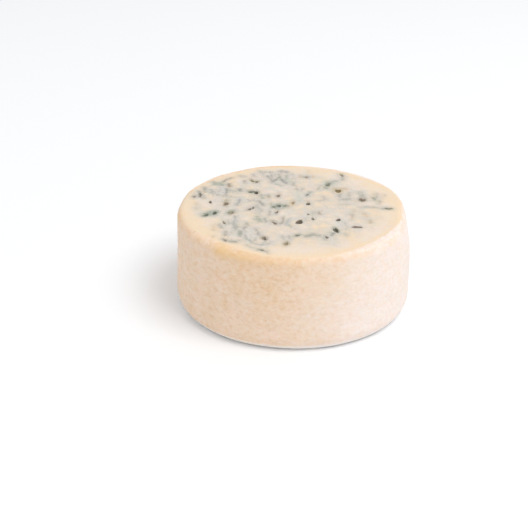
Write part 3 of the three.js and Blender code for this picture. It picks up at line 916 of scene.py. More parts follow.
    def _relief(self, place: Vector, normal: Vector) -> float:
        """Gives the skin's height over the smooth form: pebbles, lumps and creases on the rind, grain on the cut.

        Args:
            place: A point of the round wheel.
            normal: The way the skin faces there; not used.

        Returns:
            The height along the normal.
        """
        form = self.form
        rind = min(max((math.hypot(place.x, place.y) - form.flat_radius + 1) / form.rim_round, 0.0), 1.0)
        stretched = Vector((place.x, place.y, place.z * 1.4))
        pebbles = noise.noise(stretched / self.pebble) + 0.6 * noise.noise(place / (self.pebble * 1.9))
        lumps = noise.fractal(stretched / self.lump, 0.8, 2.1, 3)
        swells = noise.noise(place / self.swell)
        skin = self.skin * (0.55 * pebbles + 0.9 * lumps + 1.4 * swells)
        low = min(place.z / form.foot_round, 1.0)
        drag = 0.8 * noise.noise(Vector((place.x / 30, place.y / 3.2, 4)))
        grain = noise.fractal(place / 5.5, 0.9, 2.0, 4) + drag
        face = self.face_grain * grain - self._lip(place.x, place.y)
        return rind * skin * low - rind * self._creases(place) * low + (1 - rind) * face

    def _lip(self, x: float, y: float) -> float:
        """Gives how far the face sags towards the mouths of the pockets near a place.

        Args:
            x: The place from left to right.
            y: The place from front to back.

        Returns:
            The sag.
        """
        sag = 0.0
        for pocket in POCKETS:
            if max(abs(x - pocket.x), abs(y - pocket.y)) > self.lip_search:
                continue
            along, across = pocket.local(x, y)
            beyond = (math.hypot(along, across) - 1) * (pocket.length + pocket.width) / 4
            sag = max(sag, 1 - max(beyond, 0.0) / self.lip_reach)
        return self.lip_sag * sag * sag

    def _creases(self, place: Vector) -> float:
        """Gives how deep the rind's creases are at a place.

        Args:
            place: A point of the round wheel.

        Returns:
            The depth.
        """
        angle = math.degrees(math.atan2(place.y, place.x))
        per_degree = math.radians(self.form.face_radius)
        depth = 0.0
        for crease in WRINKLES:
            along = math.remainder(angle - crease.start[0], 360) * per_degree
            run = (crease.end[0] - crease.start[0]) * per_degree, crease.end[1] - crease.start[1]
            rise = place.z - crease.start[1]
            if abs(along) > 40 or abs(rise) > 30:
                continue
            share = min(max((along * run[0] + rise * run[1]) / (run[0] ** 2 + run[1] ** 2), 0.0), 1.0)
            away = math.hypot(along - share * run[0], rise - share * run[1])
            taper = math.sin(math.pi * min(max(share, 0.08), 0.92))
            depth += crease.depth * taper * math.exp(-((away / crease.width) ** 2))
        return depth

    def _layers_apart(self) -> list[list[tuple[int, Pocket]]]:
        """Sorts the pockets into layers in which no two touch, so that each layer is a clean cutter.

        Returns:
            The layers, each a list of a pocket's number and the pocket.
        """
        layers: list[list[tuple[int, Pocket]]] = []
        for number, pocket in enumerate(POCKETS):
            for layer in layers:
                if all(self._apart(pocket, other) for _, other in layer):
                    layer.append((number, pocket))
                    break
            else:
                layers.append([(number, pocket)])
        return layers

    @staticmethod
    def _apart(one: Pocket, other: Pocket) -> bool:
        """Says whether two pockets are surely clear of each other."""
        reach = (one.length + other.length) * 0.7
        return math.hypot(one.x - other.x, one.y - other.y) > reach

    def _cut(self, wheel: bpy.types.Object, hollows: list[tuple[int, Pocket]]) -> bpy.types.Object:
        """Cuts a layer of pockets out of the wheel.

        Args:
            wheel: The wheel so far.
            hollows: The pockets and their numbers.

        Returns:
            The wheel with the pockets opened.
        """
        bm = bmesh.new()
        bm.loops.layers.uv.new(AtlasLayout.name)
        for number, pocket in hollows:
            self._add_hollow(bm, number, pocket)
        cutter = self._object("hollows", bm)
        cut = wheel.modifiers.new("pockets", "BOOLEAN")
        cut.operation = "DIFFERENCE"
        cut.solver = "MANIFOLD"
        cut.object = cutter
        graph = bpy.context.evaluated_depsgraph_get()
        opened = bpy.data.meshes.new_from_object(wheel.evaluated_get(graph), depsgraph=graph)
        wheel.modifiers.remove(cut)
        wheel.data = opened
        bpy.data.objects.remove(cutter)
        return wheel

    def _add_hollow(self, bm: bmesh.types.BMesh, number: int, pocket: Pocket) -> None:
        """Adds a pocket's hollow to a cutter: a lumpy ball drawn out to the pocket's size.

        Args:
            bm: The cutter's mesh.
            number: The pocket's number, which turns its lobes.
            pocket: The pocket.
        """
        fine = 4 if pocket.length > self.large_pocket else 3
        made = bmesh.ops.create_icosphere(bm, subdivisions=fine, radius=1)["verts"]
        AtlasLayout(self.form).lay_out_hollow(bm, made, number)
        phase = number * self.lobe_turn
        turn = math.radians(pocket.turn)
        middle = self.form.height + self.form.face_rise(pocket.x, pocket.y)
        for point in made:
            way = point.co.copy()
            round_it = math.atan2(way.y, way.x)
            lobes = 1 + sum(
                share * math.sin(count * round_it + phase * count)
                for share, count in self.pocket_lobes
            )
            rough = 1 + 0.12 * noise.noise(way * 2.3 + Vector((number * 5.1, 0, 0)))
            along = way.x * lobes * rough * pocket.length / 2
            across = way.y * lobes * rough * pocket.width / 2
            point.co = (
                pocket.x + along * math.cos(turn) - across * math.sin(turn),
                pocket.y + along * math.sin(turn) + across * math.cos(turn),
                middle + way.z * pocket.depth * rough,
            )

    def _paint(self) -> None:
        """Writes the marks that the finish reads, as values at the mesh's points."""
        mesh = self.obj.data
        x, y, z = self._places(mesh).T
        radius, angle = np.hypot(x, y), np.arctan2(y, x)
        form = self.form
        below = np.array([form.height + form.face_rise(a, b) for a, b in zip(x, y)]) - z
        on_face = (radius < form.flat_radius) & (below < self.deepest)
        from_rim = self._from_rim(radius, angle, z)
        self._write(mesh, "from_rim", from_rim)
        self._write(mesh, "past_border", from_rim - form.border(angle))
        self._write(mesh, "stain", self._stains(angle, form.height - z))
        paint = MouldPaint(x, y)
        self._write(mesh, "vein_depth", np.where(on_face, paint.vein_depth(), -paint.reach))
        self._write_colour(mesh, "vein", *paint.veins())
        tint, thickness = paint.haze()
        above = (radius < form.face_radius) & (below < form.rim_round)
        self._write_colour(mesh, "haze", tint, np.where(on_face | above, thickness, 0))
        colour, share = paint.linings(below)
        self._write_colour(mesh, "lining", colour, np.where(on_face, share, 0))

    def _from_rim(self, radius: np.ndarray, angle: np.ndarray, z: np.ndarray) -> np.ndarray:
        """Measures how far each point is from the edge of the flat face, over the skin, inwards negative.

        Args:
            radius: The points' distances from the axis.
            angle: Their directions round the wheel.
            z: Their heights.

        Returns:
            The distances.
        """
        form = self.form
        worn = np.array([form.worn_away(a, b) for a, b in zip(angle, z)])
        true_radius = radius + worn * (radius / form.face_radius) ** 4
        rim_height = form.height - form.rim_round
        turn = np.arctan2(np.maximum(true_radius - form.flat_radius, 0), np.maximum(z - rim_height, 1e-6))
        over_rim = form.rim_round * turn
        down = np.maximum(rim_height - z, 0)
        inwards = np.minimum(true_radius - form.flat_radius, 0)
        on_face = (true_radius < form.flat_radius) & (z > form.height / 2)
        return np.where(on_face, inwards, over_rim + down)

    def _stains(self, angle: np.ndarray, drop: np.ndarray) -> np.ndarray:
        """Adds up the rind's stains at each point.

        Args:
            angle: The points' directions round the wheel.
            drop: How far each is under the cut face's height.

        Returns:
            The stains' strength, 0 to 1.
        """
        clear = np.ones(len(angle))
        for blotch in BLOTCHES:
            turn = angle - math.radians(blotch.direction)
            along = np.arctan2(np.sin(turn), np.cos(turn)) * self.form.face_radius / blotch.length
            down = (drop - blotch.drop) / blotch.height
            clear *= 1 - blotch.strength * np.exp(-(along**2 + down**2))
        return 1 - clear

    @staticmethod
    def _places(mesh: bpy.types.Mesh) -> np.ndarray:
        """Gives the mesh's points as an array of places."""
        found = np.empty(len(mesh.vertices) * 3)
        mesh.vertices.foreach_get("co", found)
        return found.reshape(-1, 3)

    @staticmethod
    def _write(mesh: bpy.types.Mesh, name: str, values: np.ndarray) -> None:
        """Writes one number for each point under a name that the finish reads."""
        layer = mesh.attributes.new(name, "FLOAT", "POINT")
        layer.data.foreach_set("value", values.astype(np.float32))

    @staticmethod
    def _write_colour(mesh: bpy.types.Mesh, name: str, colour: np.ndarray, share: np.ndarray) -> None:
        """Writes one colour and its share for each point under a name that the finish reads."""
        layer = mesh.attributes.new(name, "FLOAT_COLOR", "POINT")
        layer.data.foreach_set("color", np.column_stack([colour, share]).astype(np.float32).ravel())

    def _smooth(self) -> None:
        """Clears the slivers that the cut left and shades the skin smooth, with the pockets' mouths left crisp."""
        bm = bmesh.new()
        bm.from_mesh(self.obj.data)
        bmesh.ops.dissolve_degenerate(bm, dist=self.sliver, edges=bm.edges)
        for face in bm.faces:
            face.smooth = True
            face.material_index = 0
        for edge in bm.edges:
            edge.smooth = edge.calc_face_angle(0) < self.crisp_angle
        bm.to_mesh(self.obj.data)
        bm.free()

    def _to_metres(self) -> None:
        """Turns the mesh from millimetres into metres, with its object left at the origin."""
        self.obj.data.transform(Matrix.Scale(MM, 4))
        self.obj.data.update()

    @staticmethod
    def _object(name: str, bm: bmesh.types.BMesh) -> bpy.types.Object:
        """Makes an object of a mesh and frees the mesh's builder."""
        mesh = bpy.data.meshes.new(name)
        bm.to_mesh(mesh)
        bm.free()
        made = bpy.data.objects.new(name, mesh)
        bpy.context.scene.collection.objects.link(made)
        return made


@dataclass(frozen=True)
class AtlasLayout:
    """Lays the skin out flat on one square: the face, the side in two strips, the underside and each pocket.

    It works on the true round wheel and on the balls that cut the pockets, and the cut carries the map along.
    """

    form: WheelForm
    name: str = "OFBake"
    side: float = 1024.0
    face_px: float = 732.0
    strip_px: float = 212.0
    under_px: float = 280.0
    cell_px: float = 35.0
    gap_px: float = 4.0
    cells_across: int = 20
    cell_rows: int = 2
    opening: float = math.radians(115)

    def lay_out_wheel(self, bm: bmesh.types.BMesh) -> None:
        """Gives the round wheel its map.

        Args:
            bm: The wheel's mesh, in millimetres.
        """
        layer = bm.loops.layers.uv.new(self.name)
        for face in bm.faces:
            middle = face.calc_center_median()
            for loop in face.loops:
                place = loop.vert.co
                if middle.z < 1e-6:
                    spot = self._under_spot(place)
                elif middle.z > self.form.height - 1e-6:
                    spot = self._face_spot(place)
                else:
                    spot = self._side_spot(place, math.atan2(middle.y, middle.x))
                loop[layer].uv = spot / self.side

    def lay_out_hollow(self, bm: bmesh.types.BMesh, points: list, number: int) -> None:
        """Gives a pocket's ball, still round, a small round map of its own.

        Args:
            bm: The cutter's mesh.
            points: The ball's points, on the unit sphere.
            number: The pocket's number, which picks its place on the square.
        """
        layer = bm.loops.layers.uv.verify()
        row, column = divmod(number, self.cells_across)
        if row < self.cell_rows:
            centre = Vector(((column + 0.5) * self.cell_px, self.strip_px + (row + 0.5) * self.cell_px))
        else:
            centre = Vector((self.face_px + self.cell_px / 2, self.side - (column + 0.5) * self.cell_px))
        reach = self.cell_px / 2 - 1
        for loop in (loop for point in points for loop in point.link_loops):
            way = loop.vert.co
            turned = math.atan2(math.hypot(way.x, way.y), -way.z) / self.opening * reach
            round_it = math.atan2(way.y, way.x)
            spot = centre + Vector((math.cos(round_it), math.sin(round_it))) * turned
            loop[layer].uv = spot / self.side

    def _face_spot(self, place: Vector) -> Vector:
        """Places a point of the cut face in the upper left of the square."""
        scale = (self.face_px / 2 - self.gap_px) / self.form.flat_radius
        return Vector((self.face_px / 2, self.side - self.face_px / 2)) + place.xy * scale

    def _under_spot(self, place: Vector) -> Vector:
        """Places a point of the underside, seen from below, in the lower right of the square."""
        scale = (self.under_px / 2 - self.gap_px) / self.form.stand_radius
        centre = Vector((self.side - self.under_px / 2, self.under_px / 2))
        return centre + Vector((-place.x, place.y)) * scale

    def _side_spot(self, place: Vector, about: float) -> Vector:
        """Places a point of the side: the front half along the bottom of the square, the back half up its right.

        Args:
            place: The point.
            about: The direction of the middle of the face that it belongs to.

        Returns:
            The point's spot.
        """
        turn = about + math.remainder(math.atan2(place.y, place.x) - about, 2 * math.pi)
        length = self.face_px - 2 * self.gap_px
        width = self.strip_px - 2 * self.gap_px
        form = self.form
        up = 1 - form.run(math.hypot(place.x, place.y), place.z) / form.run(form.stand_radius, 0)
        across = self.gap_px + up * width
        if about < 0:
            return Vector((self.gap_px + (turn / math.pi + 1) * length, across))
        return Vector((self.side - across, self.side - self.face_px + self.gap_px + turn / math.pi * length))


class NodeBoard:
    """A material's node tree with short ways to add and join its nodes."""

    def __init__(self, name: str) -> None:
        """Makes an empty material.

        Args:
            name: The material's name.
        """
        self.material = bpy.data.materials.new(name)
        self.material.use_nodes = True
        self.tree = self.material.node_tree
        self.tree.nodes.clear()

    def add(self, kind: str, **settings: object) -> bpy.types.Node:
        """Adds a node.

        Args:
            kind: The node's type.
            **settings: Values of the node's own properties.

        Returns:
            The node.
        """
        node = self.tree.nodes.new(kind)
        for name, value in settings.items():
            setattr(node, name, value)
        return node

    def put(self, socket: bpy.types.NodeSocket, value: object) -> None:
        """Joins a socket to another one, or sets its value."""
        if isinstance(value, bpy.types.NodeSocket):
            self.tree.links.new(value, socket)
        elif isinstance(value, tuple) and len(value) == 3 and socket.type == "RGBA":
            socket.default_value = (*value, 1)
        else:
            socket.default_value = value

    def maths(self, operation: str, one: object, other: object = 0.0, clamp: bool = False) -> bpy.types.NodeSocket:
        """Adds a sum of two numbers.

        Args:
            operation: What to work out.
            one: The first number or socket.
            other: The second.
            clamp: Whether the result stays between 0 and 1.

        Returns:
            The result's socket.
        """
        node = self.add("ShaderNodeMath", operation=operation, use_clamp=clamp)
        self.put(node.inputs[0], one)
        self.put(node.inputs[1], other)
        return node.outputs[0]

    def between(self, value: object, low: float, high: float, top: float = 1.0) -> bpy.types.NodeSocket:
        """Rises smoothly from 0 where value is low to top where it is high.

        Args:
            value: The number or socket to read.
            low: Where the rise begins.
            high: Where it ends.
            top: The value there.

        Returns:
            The result's socket.
        """
        node = self.add("ShaderNodeMapRange", interpolation_type="SMOOTHSTEP")
        self.put(node.inputs["Value"], value)
        self.put(node.inputs["From Min"], low)
        self.put(node.inputs["From Max"], high)
        self.put(node.inputs["To Min"], 0.0)
        self.put(node.inputs["To Max"], top)
        return node.outputs[0]

    def mix(self, share: object, one: object, other: object, blend: str = "MIX") -> bpy.types.NodeSocket:
        """Mixes two colours.

        Args:
            share: The second colour's share.
            one: The first colour.
            other: The second colour.
            blend: How they mix.

        Returns:
            The colour's socket.
        """
        node = self.add("ShaderNodeMix", data_type="RGBA", blend_type=blend)
        self.put(node.inputs[0], share)
        self.put(node.inputs[6], one)
        self.put(node.inputs[7], other)
        return node.outputs[2]

    def clouds(self, place: object, size: float, detail: float = 2.0, rough: float = 0.5, shift: float = 0.0,
               warp: float = 0.0) -> bpy.types.NodeSocket:
        """Adds soft noise.

        Args:
            place: The place's socket, in millimetres.
            size: The size of its lumps in millimetres.
            detail: How many finer layers it has.
            rough: How strong those are.
            shift: Moves it, so that two noises differ.
            warp: How far it is bent by itself.

        Returns:
            The noise's socket, about 0 to 1.
        """
        node = self.add("ShaderNodeTexNoise", noise_dimensions="4D")
        self.put(node.inputs["Vector"], place)
        self.put(node.inputs["W"], shift)
        self.put(node.inputs["Scale"], 1 / size)
        self.put(node.inputs["Detail"], detail)
        self.put(node.inputs["Roughness"], rough)
        self.put(node.inputs["Distortion"], warp)
        return node.outputs[0]

    def pebbles(self, place: object, size: float, smooth: float = 0.6) -> bpy.types.NodeSocket:
        """Adds rounded cells.

        Args:
            place: The place's socket, in millimetres.
            size: The cells' size in millimetres.
            smooth: How far they run into each other.

        Returns:
            The socket of the distance from a cell's middle.
        """
        node = self.add("ShaderNodeTexVoronoi", feature="SMOOTH_F1")
        self.put(node.inputs["Vector"], place)
        self.put(node.inputs["Scale"], 1 / size)
        self.put(node.inputs["Smoothness"], smooth)
        return node.outputs["Distance"]

    def scaled(self, place: object, by: tuple[float, float, float]) -> bpy.types.NodeSocket:
        """Stretches places along the axes."""
        node = self.add("ShaderNodeVectorMath", operation="MULTIPLY")
        self.put(node.inputs[0], place)
        self.put(node.inputs[1], by)
        return node.outputs[0]

    def rightward(self, place: object) -> bpy.types.NodeSocket:
        """Gives how far places lie to the right of the wheel's middle."""
        node = self.add("ShaderNodeSeparateXYZ")
        self.put(node.inputs[0], place)
        return node.outputs[0]

    def mark(self, name: str, output: str = "Fac") -> bpy.types.NodeSocket:
        """Reads what the wheel's points hold under a name."""
        return self.add("ShaderNodeAttribute", attribute_name=name).outputs[output]


@dataclass(frozen=True)
class PasteFinish:
    """The cut paste: pinkish cream under a pale blue haze, yellow towards the rim, marbled with mould."""

    cream: Colour = from_screen(229, 213, 197)
    butter: Colour = from_screen(232, 210, 180)
    peach: Colour = from_screen(229, 203, 180)
    milk: Colour = from_screen(204, 198, 189)
    bloom: Colour = from_screen(218, 214, 206)
    rim: Colour = from_screen(232, 211, 183)
    gold: Colour = from_screen(236, 208, 174)
    thread: Colour = from_screen(146, 148, 140)
    roughness: float = 0.52

    def colour(self, board: NodeBoard, place: object, from_rim: object) -> bpy.types.NodeSocket:
        """Adds the paste's colour, before the veins.

        Args:
            board: The node tree.
            place: The place's socket, in millimetres.
            from_rim: The distance from the rim, inwards negative.

        Returns:
            The colour's socket.
        """
        haze = board.mark("haze", "Alpha")
        base = board.mix(board.between(board.clouds(place, 19, 3, 0.5, 1.0), 0.4, 0.62), self.cream, self.butter)
        base = board.mix(board.between(board.clouds(place, 6, 3, 0.55, 6.0), 0.48, 0.68, 0.35), base, self.peach)
        inner = board.maths("ADD", from_rim, board.maths("MULTIPLY", board.clouds(place, 16, 3, 0.5, 14.0), 20.0))
        mottle = board.between(board.clouds(place, 7, 3, 0.55, 13.0, 0.5), 0.3, 0.64, 0.7)
        base = board.mix(board.maths("MULTIPLY", mottle, board.between(inner, 0, -20)), base, self.milk)
        billow = board.between(board.clouds(place, 6, 4, 0.6, 2.0, 0.6), 0.32, 0.64)
        thick = board.maths("MULTIPLY", haze, board.maths("ADD", board.maths("MULTIPLY", billow, 0.8), 0.4), True)
        base = board.mix(thick, base, board.mark("haze", "Color"))
        pale = board.between(board.clouds(place, 4.2, 3, 0.55, 3.0, 0.4), 0.52, 0.7, 0.7)
        base = board.mix(board.maths("MULTIPLY", pale, haze), base, self.bloom)
        base = board.mix(self._threads(board, place, haze), base, self.thread)
        edge = board.maths("ADD", from_rim, board.maths("MULTIPLY", board.clouds(place, 14, 3, 0.5, 3.0), 8.0))
        clear = board.maths("ADD", board.maths("MULTIPLY", haze, -0.75), 1.0)
        base = board.mix(board.maths("MULTIPLY", board.between(edge, -8, 3, 0.9), clear), base, self.rim)
        brim = board.maths("MULTIPLY", board.between(board.mark("past_border"), -7, -1),
                           board.between(board.clouds(place, 10, 3, 0.5, 15.0), 0.38, 0.62, 0.65))
        base = board.mix(board.maths("MULTIPLY", brim, clear), base, self.gold)
        speck = board.between(board.clouds(place, 1.3, 3, 0.6, 4.0), 0.3, 0.7)
        return board.mix(0.17, base, board.mix(speck, (0.3, 0.3, 0.3), (0.72, 0.71, 0.69)), "OVERLAY")

    @staticmethod
    def _threads(board: NodeBoard, place: object, haze: object) -> bpy.types.NodeSocket:
        """Adds the finest veins and specks, which only show where the haze is thick.

        Args:
            board: The node tree.
            place: The place's socket, in millimetres.
            haze: The haze's thickness.

        Returns:
            The share's socket.
        """
        line = board.maths("ABSOLUTE", board.maths("SUBTRACT", board.clouds(place, 10, 4, 0.6, 5.0, 1.0), 0.5))
        gaps = board.between(board.clouds(place, 8, 2, 0.5, 8.0), 0.44, 0.6)
        lines = board.maths("MULTIPLY", board.between(line, 0.03, 0.0, 0.5), gaps)
        specks = board.between(board.clouds(place, 2.6, 3, 0.55, 9.0), 0.6, 0.72, 0.4)
        both = board.maths("MAXIMUM", lines, specks)
        return board.maths("MULTIPLY", both, board.between(haze, 0.15, 0.6))

    def height(self, board: NodeBoard, place: object) -> bpy.types.NodeSocket:
        """Adds the fine relief of the cut: a close grain and the drag of the knife.

        Args:
            board: The node tree.
            place: The place's socket, in millimetres.

        Returns:
            The relief in millimetres.
        """
        grain = board.maths("MULTIPLY", board.clouds(place, 1.1, 4, 0.65, 11.0), 0.16)
        drag = board.maths("MULTIPLY", board.clouds(board.scaled(place, (0.09, 1.0, 0.3)), 1.4, 3, 0.6, 12.0), 0.1)
        return board.maths("ADD", grain, drag)


@dataclass(frozen=True)
class RindFinish:
    """The natural rind: tan and pink mottle, orange under the rim and at the foot, under a pale bloom, with
    painted light that whitens its right side and lifts its foot, and painted shade that warms its front.
    """

    tan: Colour = from_screen(233, 207, 181)
    pink: Colour = from_screen(236, 211, 190)
    orange: Colour = from_screen(231, 197, 160)
    ochre: Colour = from_screen(232, 192, 124)
    bloom: Colour = from_screen(236, 220, 206)
    white: Colour = from_screen(242, 233, 229)
    dull: Colour = from_screen(220, 189, 153)
    # Painted light for the foot's lowest part, where the wheel meets the floor
    painted_foot_light: Colour = from_screen(246, 242, 238)
    warmth_and_shade: Colour = (0.98, 0.92, 0.79)
    roughness: float = 0.78
    flatten: tuple[float, float, float] = (1.0, 1.0, 1.5)

    def colour(self, board: NodeBoard, place: object, from_rim: object) -> bpy.types.NodeSocket:
        """Adds the rind's colour.

        Args:
            board: The node tree.
            place: The place's socket, in millimetres.
            from_rim: The distance below the rim over the skin.

        Returns:
            The colour's socket.
        """
        base = board.mix(board.between(board.clouds(place, 16, 4, 0.6, 21.0), 0.35, 0.65), self.tan, self.pink)
        warm = board.between(board.clouds(place, 6, 4, 0.65, 22.0), 0.47, 0.7, 0.7)
        foot = board.between(from_rim, 66, 96, 0.35)
        base = board.mix(board.maths("ADD", warm, foot, True), base, self.orange)
        level = board.scaled(place, self.flatten)
        dulled = board.between(board.clouds(level, 4.6, 3, 0.5, 23.0, 0.4), 0.46, 0.7, 0.6)
        base = board.mix(dulled, base, self.dull)
        base = self._bloom(board, place, base)
        # Partly the rind's own warmer tone, partly painted shade: a darker warm tint at the front under the rim,
        # none at the lit right.
        base = board.mix(self._warmth_and_shade_share(board, place, from_rim), base, self.warmth_and_shade, "MULTIPLY")
        # Painted light: the lowest part of the foot is turned nearly white, to lift the shade where the wheel
        # meets the floor.
        base = board.mix(board.between(from_rim, 80, 86, 0.95), base, self.painted_foot_light)
        band = board.maths("MULTIPLY", board.between(from_rim, 2.5, 4.5), board.between(from_rim, 11, 6))
        broken = board.between(board.clouds(place, 12, 3, 0.5, 25.0), 0.35, 0.65, 0.42)
        base = board.mix(board.maths("MULTIPLY", band, broken), base, self.orange)
        return board.mix(board.maths("MULTIPLY", board.mark("stain"), 0.85), base, self.ochre)

    @staticmethod
    def _warmth_and_shade_share(board: NodeBoard, place: object, from_rim: object) -> bpy.types.NodeSocket:
        """Adds how much the rind is warmed and darkened: most under the rim at the front, least at the lamp-lit
        right and towards the foot. This is partly the rind's own warmer tone and partly painted shade.

        Args:
            board: The node tree.
            place: The place's socket, in millimetres.
            from_rim: The distance below the rim over the skin.

        Returns:
            The share's socket.
        """
        across = board.rightward(place)
        left = board.between(across, -82, -30)
        right = board.between(across, 110, 10)
        down = board.between(from_rim, 66, 16, 0.5)
        return board.maths("MULTIPLY", board.maths("MULTIPLY", left, right), down)

    def _bloom(self, board: NodeBoard, place: object, base: object) -> bpy.types.NodeSocket:
        """Adds the pale bloom: specks everywhere, and a painted highlight that whitens the rind more and more
        towards its right, the side the lamp lights most.

        Args:
            board: The node tree.
            place: The place's socket, in millimetres.
            base: The colour's socket under the bloom.

        Returns:
            The colour's socket.
        """
        drift = board.maths("MULTIPLY", board.clouds(place, 24, 2, 0.5, 26.0), 40.0)
        # Painted highlight: the whitening grows towards the right of the wheel, where the lamp lights the rind
        # most.
        lit_side_whitening = board.between(board.maths("ADD", board.rightward(place), drift), 0.0, 90.0)
        level = board.scaled(place, self.flatten)
        flecks = board.between(board.clouds(level, 3.8, 3, 0.5, 24.0, 0.4), 0.46, 0.68, 0.6)
        patches = board.between(board.clouds(level, 7, 3, 0.55, 27.0), 0.48, 0.68, 0.4)
        base = board.mix(board.maths("MAXIMUM", flecks, patches), base, self.bloom)
        dashes = board.between(board.clouds(level, 3.8, 3, 0.5, 28.0, 0.4), 0.36, 0.64, 0.28)
        # The bloom's specks and patches above are the rind's own; the whitening mixed in here is painted light.
        return board.mix(board.maths("MULTIPLY", lit_side_whitening, board.maths("ADD", dashes, 0.52)), base, self.white)

    def height(self, board: NodeBoard, place: object) -> bpy.types.NodeSocket:
        """Adds the rind's fine relief: small pebbles over a close grain.

        Args:
            board: The node tree.
            place: The place's socket, in millimetres.

        Returns:
            The relief in millimetres.
        """
        level = board.scaled(place, self.flatten)
        pebbles = board.maths("MULTIPLY", board.pebbles(level, 3.4), -0.3)
        grain = board.maths("MULTIPLY", board.clouds(level, 2.6, 2, 0.4, 31.0), 0.5)
        return board.maths("ADD", pebbles, grain)


@dataclass(frozen=True)
class CheeseFinish:
    """The one finish of the wheel, which joins paste, rind and mould by the marks on the mesh."""

    paste: PasteFinish = field(default_factory=PasteFinish)
    rind: RindFinish = field(default_factory=RindFinish)
    glow: float = 0.3
    glow_reach: float = 0.004
    glow_colours: Colour = (1.0, 0.6, 0.35)
    shine: float = 0.3
    bump_strength: float = 0.6
    wander: float = 4.5
    border_blur: float = 1.1
    mould_dulls: float = 0.15
    mould_sinks: float = 0.15

    def dress(self, piece: bpy.types.Object) -> None:
        """Gives the piece its material.

        Args:
            piece: The wheel.
        """
        board = NodeBoard("blue goat cheese")
        place = board.scaled(board.add("ShaderNodeTexCoord").outputs["Object"], (1000.0, 1000.0, 1000.0))
        from_rim = board.mark("from_rim")
        drift = board.maths("SUBTRACT", board.clouds(place, 9, 3, 0.5, 41.0), 0.5)
        past = board.maths("ADD", board.mark("past_border"), board.maths("MULTIPLY", drift, self.wander))
        is_rind = board.between(past, -self.border_blur, self.border_blur)
        paste = self.paste.colour(board, place, from_rim)
        rind = self.rind.colour(board, place, from_rim)
        colour = board.mix(is_rind, paste, rind)
        marbling = self._marbling(board, place)
        colour = board.mix(marbling, colour, board.mark("vein", "Color"))
        lined = board.mark("lining", "Alpha")
        colour = board.mix(lined, colour, board.mark("lining", "Color"))
        marbling = board.maths("MAXIMUM", marbling, lined)
        shader = board.add("ShaderNodeBsdfPrincipled")
        board.put(shader.inputs["Base Color"], colour)
        board.put(shader.inputs["Roughness"], self._roughness(board, is_rind, marbling))
        board.put(shader.inputs["Normal"], self._bump(board, place, is_rind, marbling))
        shader.inputs["Subsurface Weight"].default_value = self.glow
        shader.inputs["Subsurface Radius"].default_value = self.glow_colours
        shader.inputs["Subsurface Scale"].default_value = self.glow_reach
        shader.inputs["Specular IOR Level"].default_value = self.shine
        output = board.add("ShaderNodeOutputMaterial")
        board.put(output.inputs["Surface"], shader.outputs[0])
        piece.data.materials.clear()
        piece.data.materials.append(board.material)

    @staticmethod
    def _marbling(board: NodeBoard, place: object) -> bpy.types.NodeSocket:
        """Adds how strongly the veins show: drawn by their depth with a ragged, broken edge.

        Args:
            board: The node tree.
            place: The place's socket, in millimetres.

        Returns:
            The share's socket.
        """
        ragged = board.maths("SUBTRACT", board.clouds(place, 2.4, 4, 0.65, 51.0, 0.5), 0.5)
        depth = board.maths("ADD", board.mark("vein_depth"), board.maths("MULTIPLY", ragged, 3.4))
        smudge = board.between(depth, -4.2, 0.4, 0.4)
        breaks = board.maths("ADD", board.between(board.clouds(place, 4.5, 2, 0.5, 52.0), 0.3, 0.6, 0.6), 0.55)
        drawn = board.maths("MAXIMUM", board.between(depth, -1.5, 0.7), smudge)
        return board.maths("MULTIPLY", drawn, board.maths("MULTIPLY", board.mark("vein", "Alpha"), breaks), True)

    def _roughness(self, board: NodeBoard, is_rind: object, marbling: object) -> bpy.types.NodeSocket:
        """Adds the roughness: moist paste, dry rind and dull mould.

        Args:
            board: The node tree.
            is_rind: The rind's share.
            marbling: The mould's share.

        Returns:
            The roughness's socket.
        """
        step = board.maths("MULTIPLY", is_rind, self.rind.roughness - self.paste.roughness)
        base = board.maths("ADD", step, self.paste.roughness)
        return board.maths("ADD", base, board.maths("MULTIPLY", marbling, self.mould_dulls), True)

    def _bump(self, board: NodeBoard, place: object, is_rind: object, marbling: object) -> bpy.types.NodeSocket:
        """Adds the fine relief that is under the mesh's own.

        Args:
            board: The node tree.
            place: The place's socket, in millimetres.
            is_rind: The rind's share.
            marbling: The mould's share, which lies a little low.

        Returns:
            The normal's socket.
        """
        paste = self.paste.height(board, place)
        rind = self.rind.height(board, place)
        both = board.add("ShaderNodeMix", data_type="FLOAT")
        board.put(both.inputs[0], is_rind)
        board.put(both.inputs[2], paste)
        board.put(both.inputs[3], rind)
        sunk = board.maths("SUBTRACT", both.outputs[0], board.maths("MULTIPLY", marbling, self.mould_sinks))
        bump = board.add("ShaderNodeBump")
        board.put(bump.inputs["Height"], sunk)
        bump.inputs["Distance"].default_value = MM
        bump.inputs["Strength"].default_value = self.bump_strength
        return bump.outputs[0]


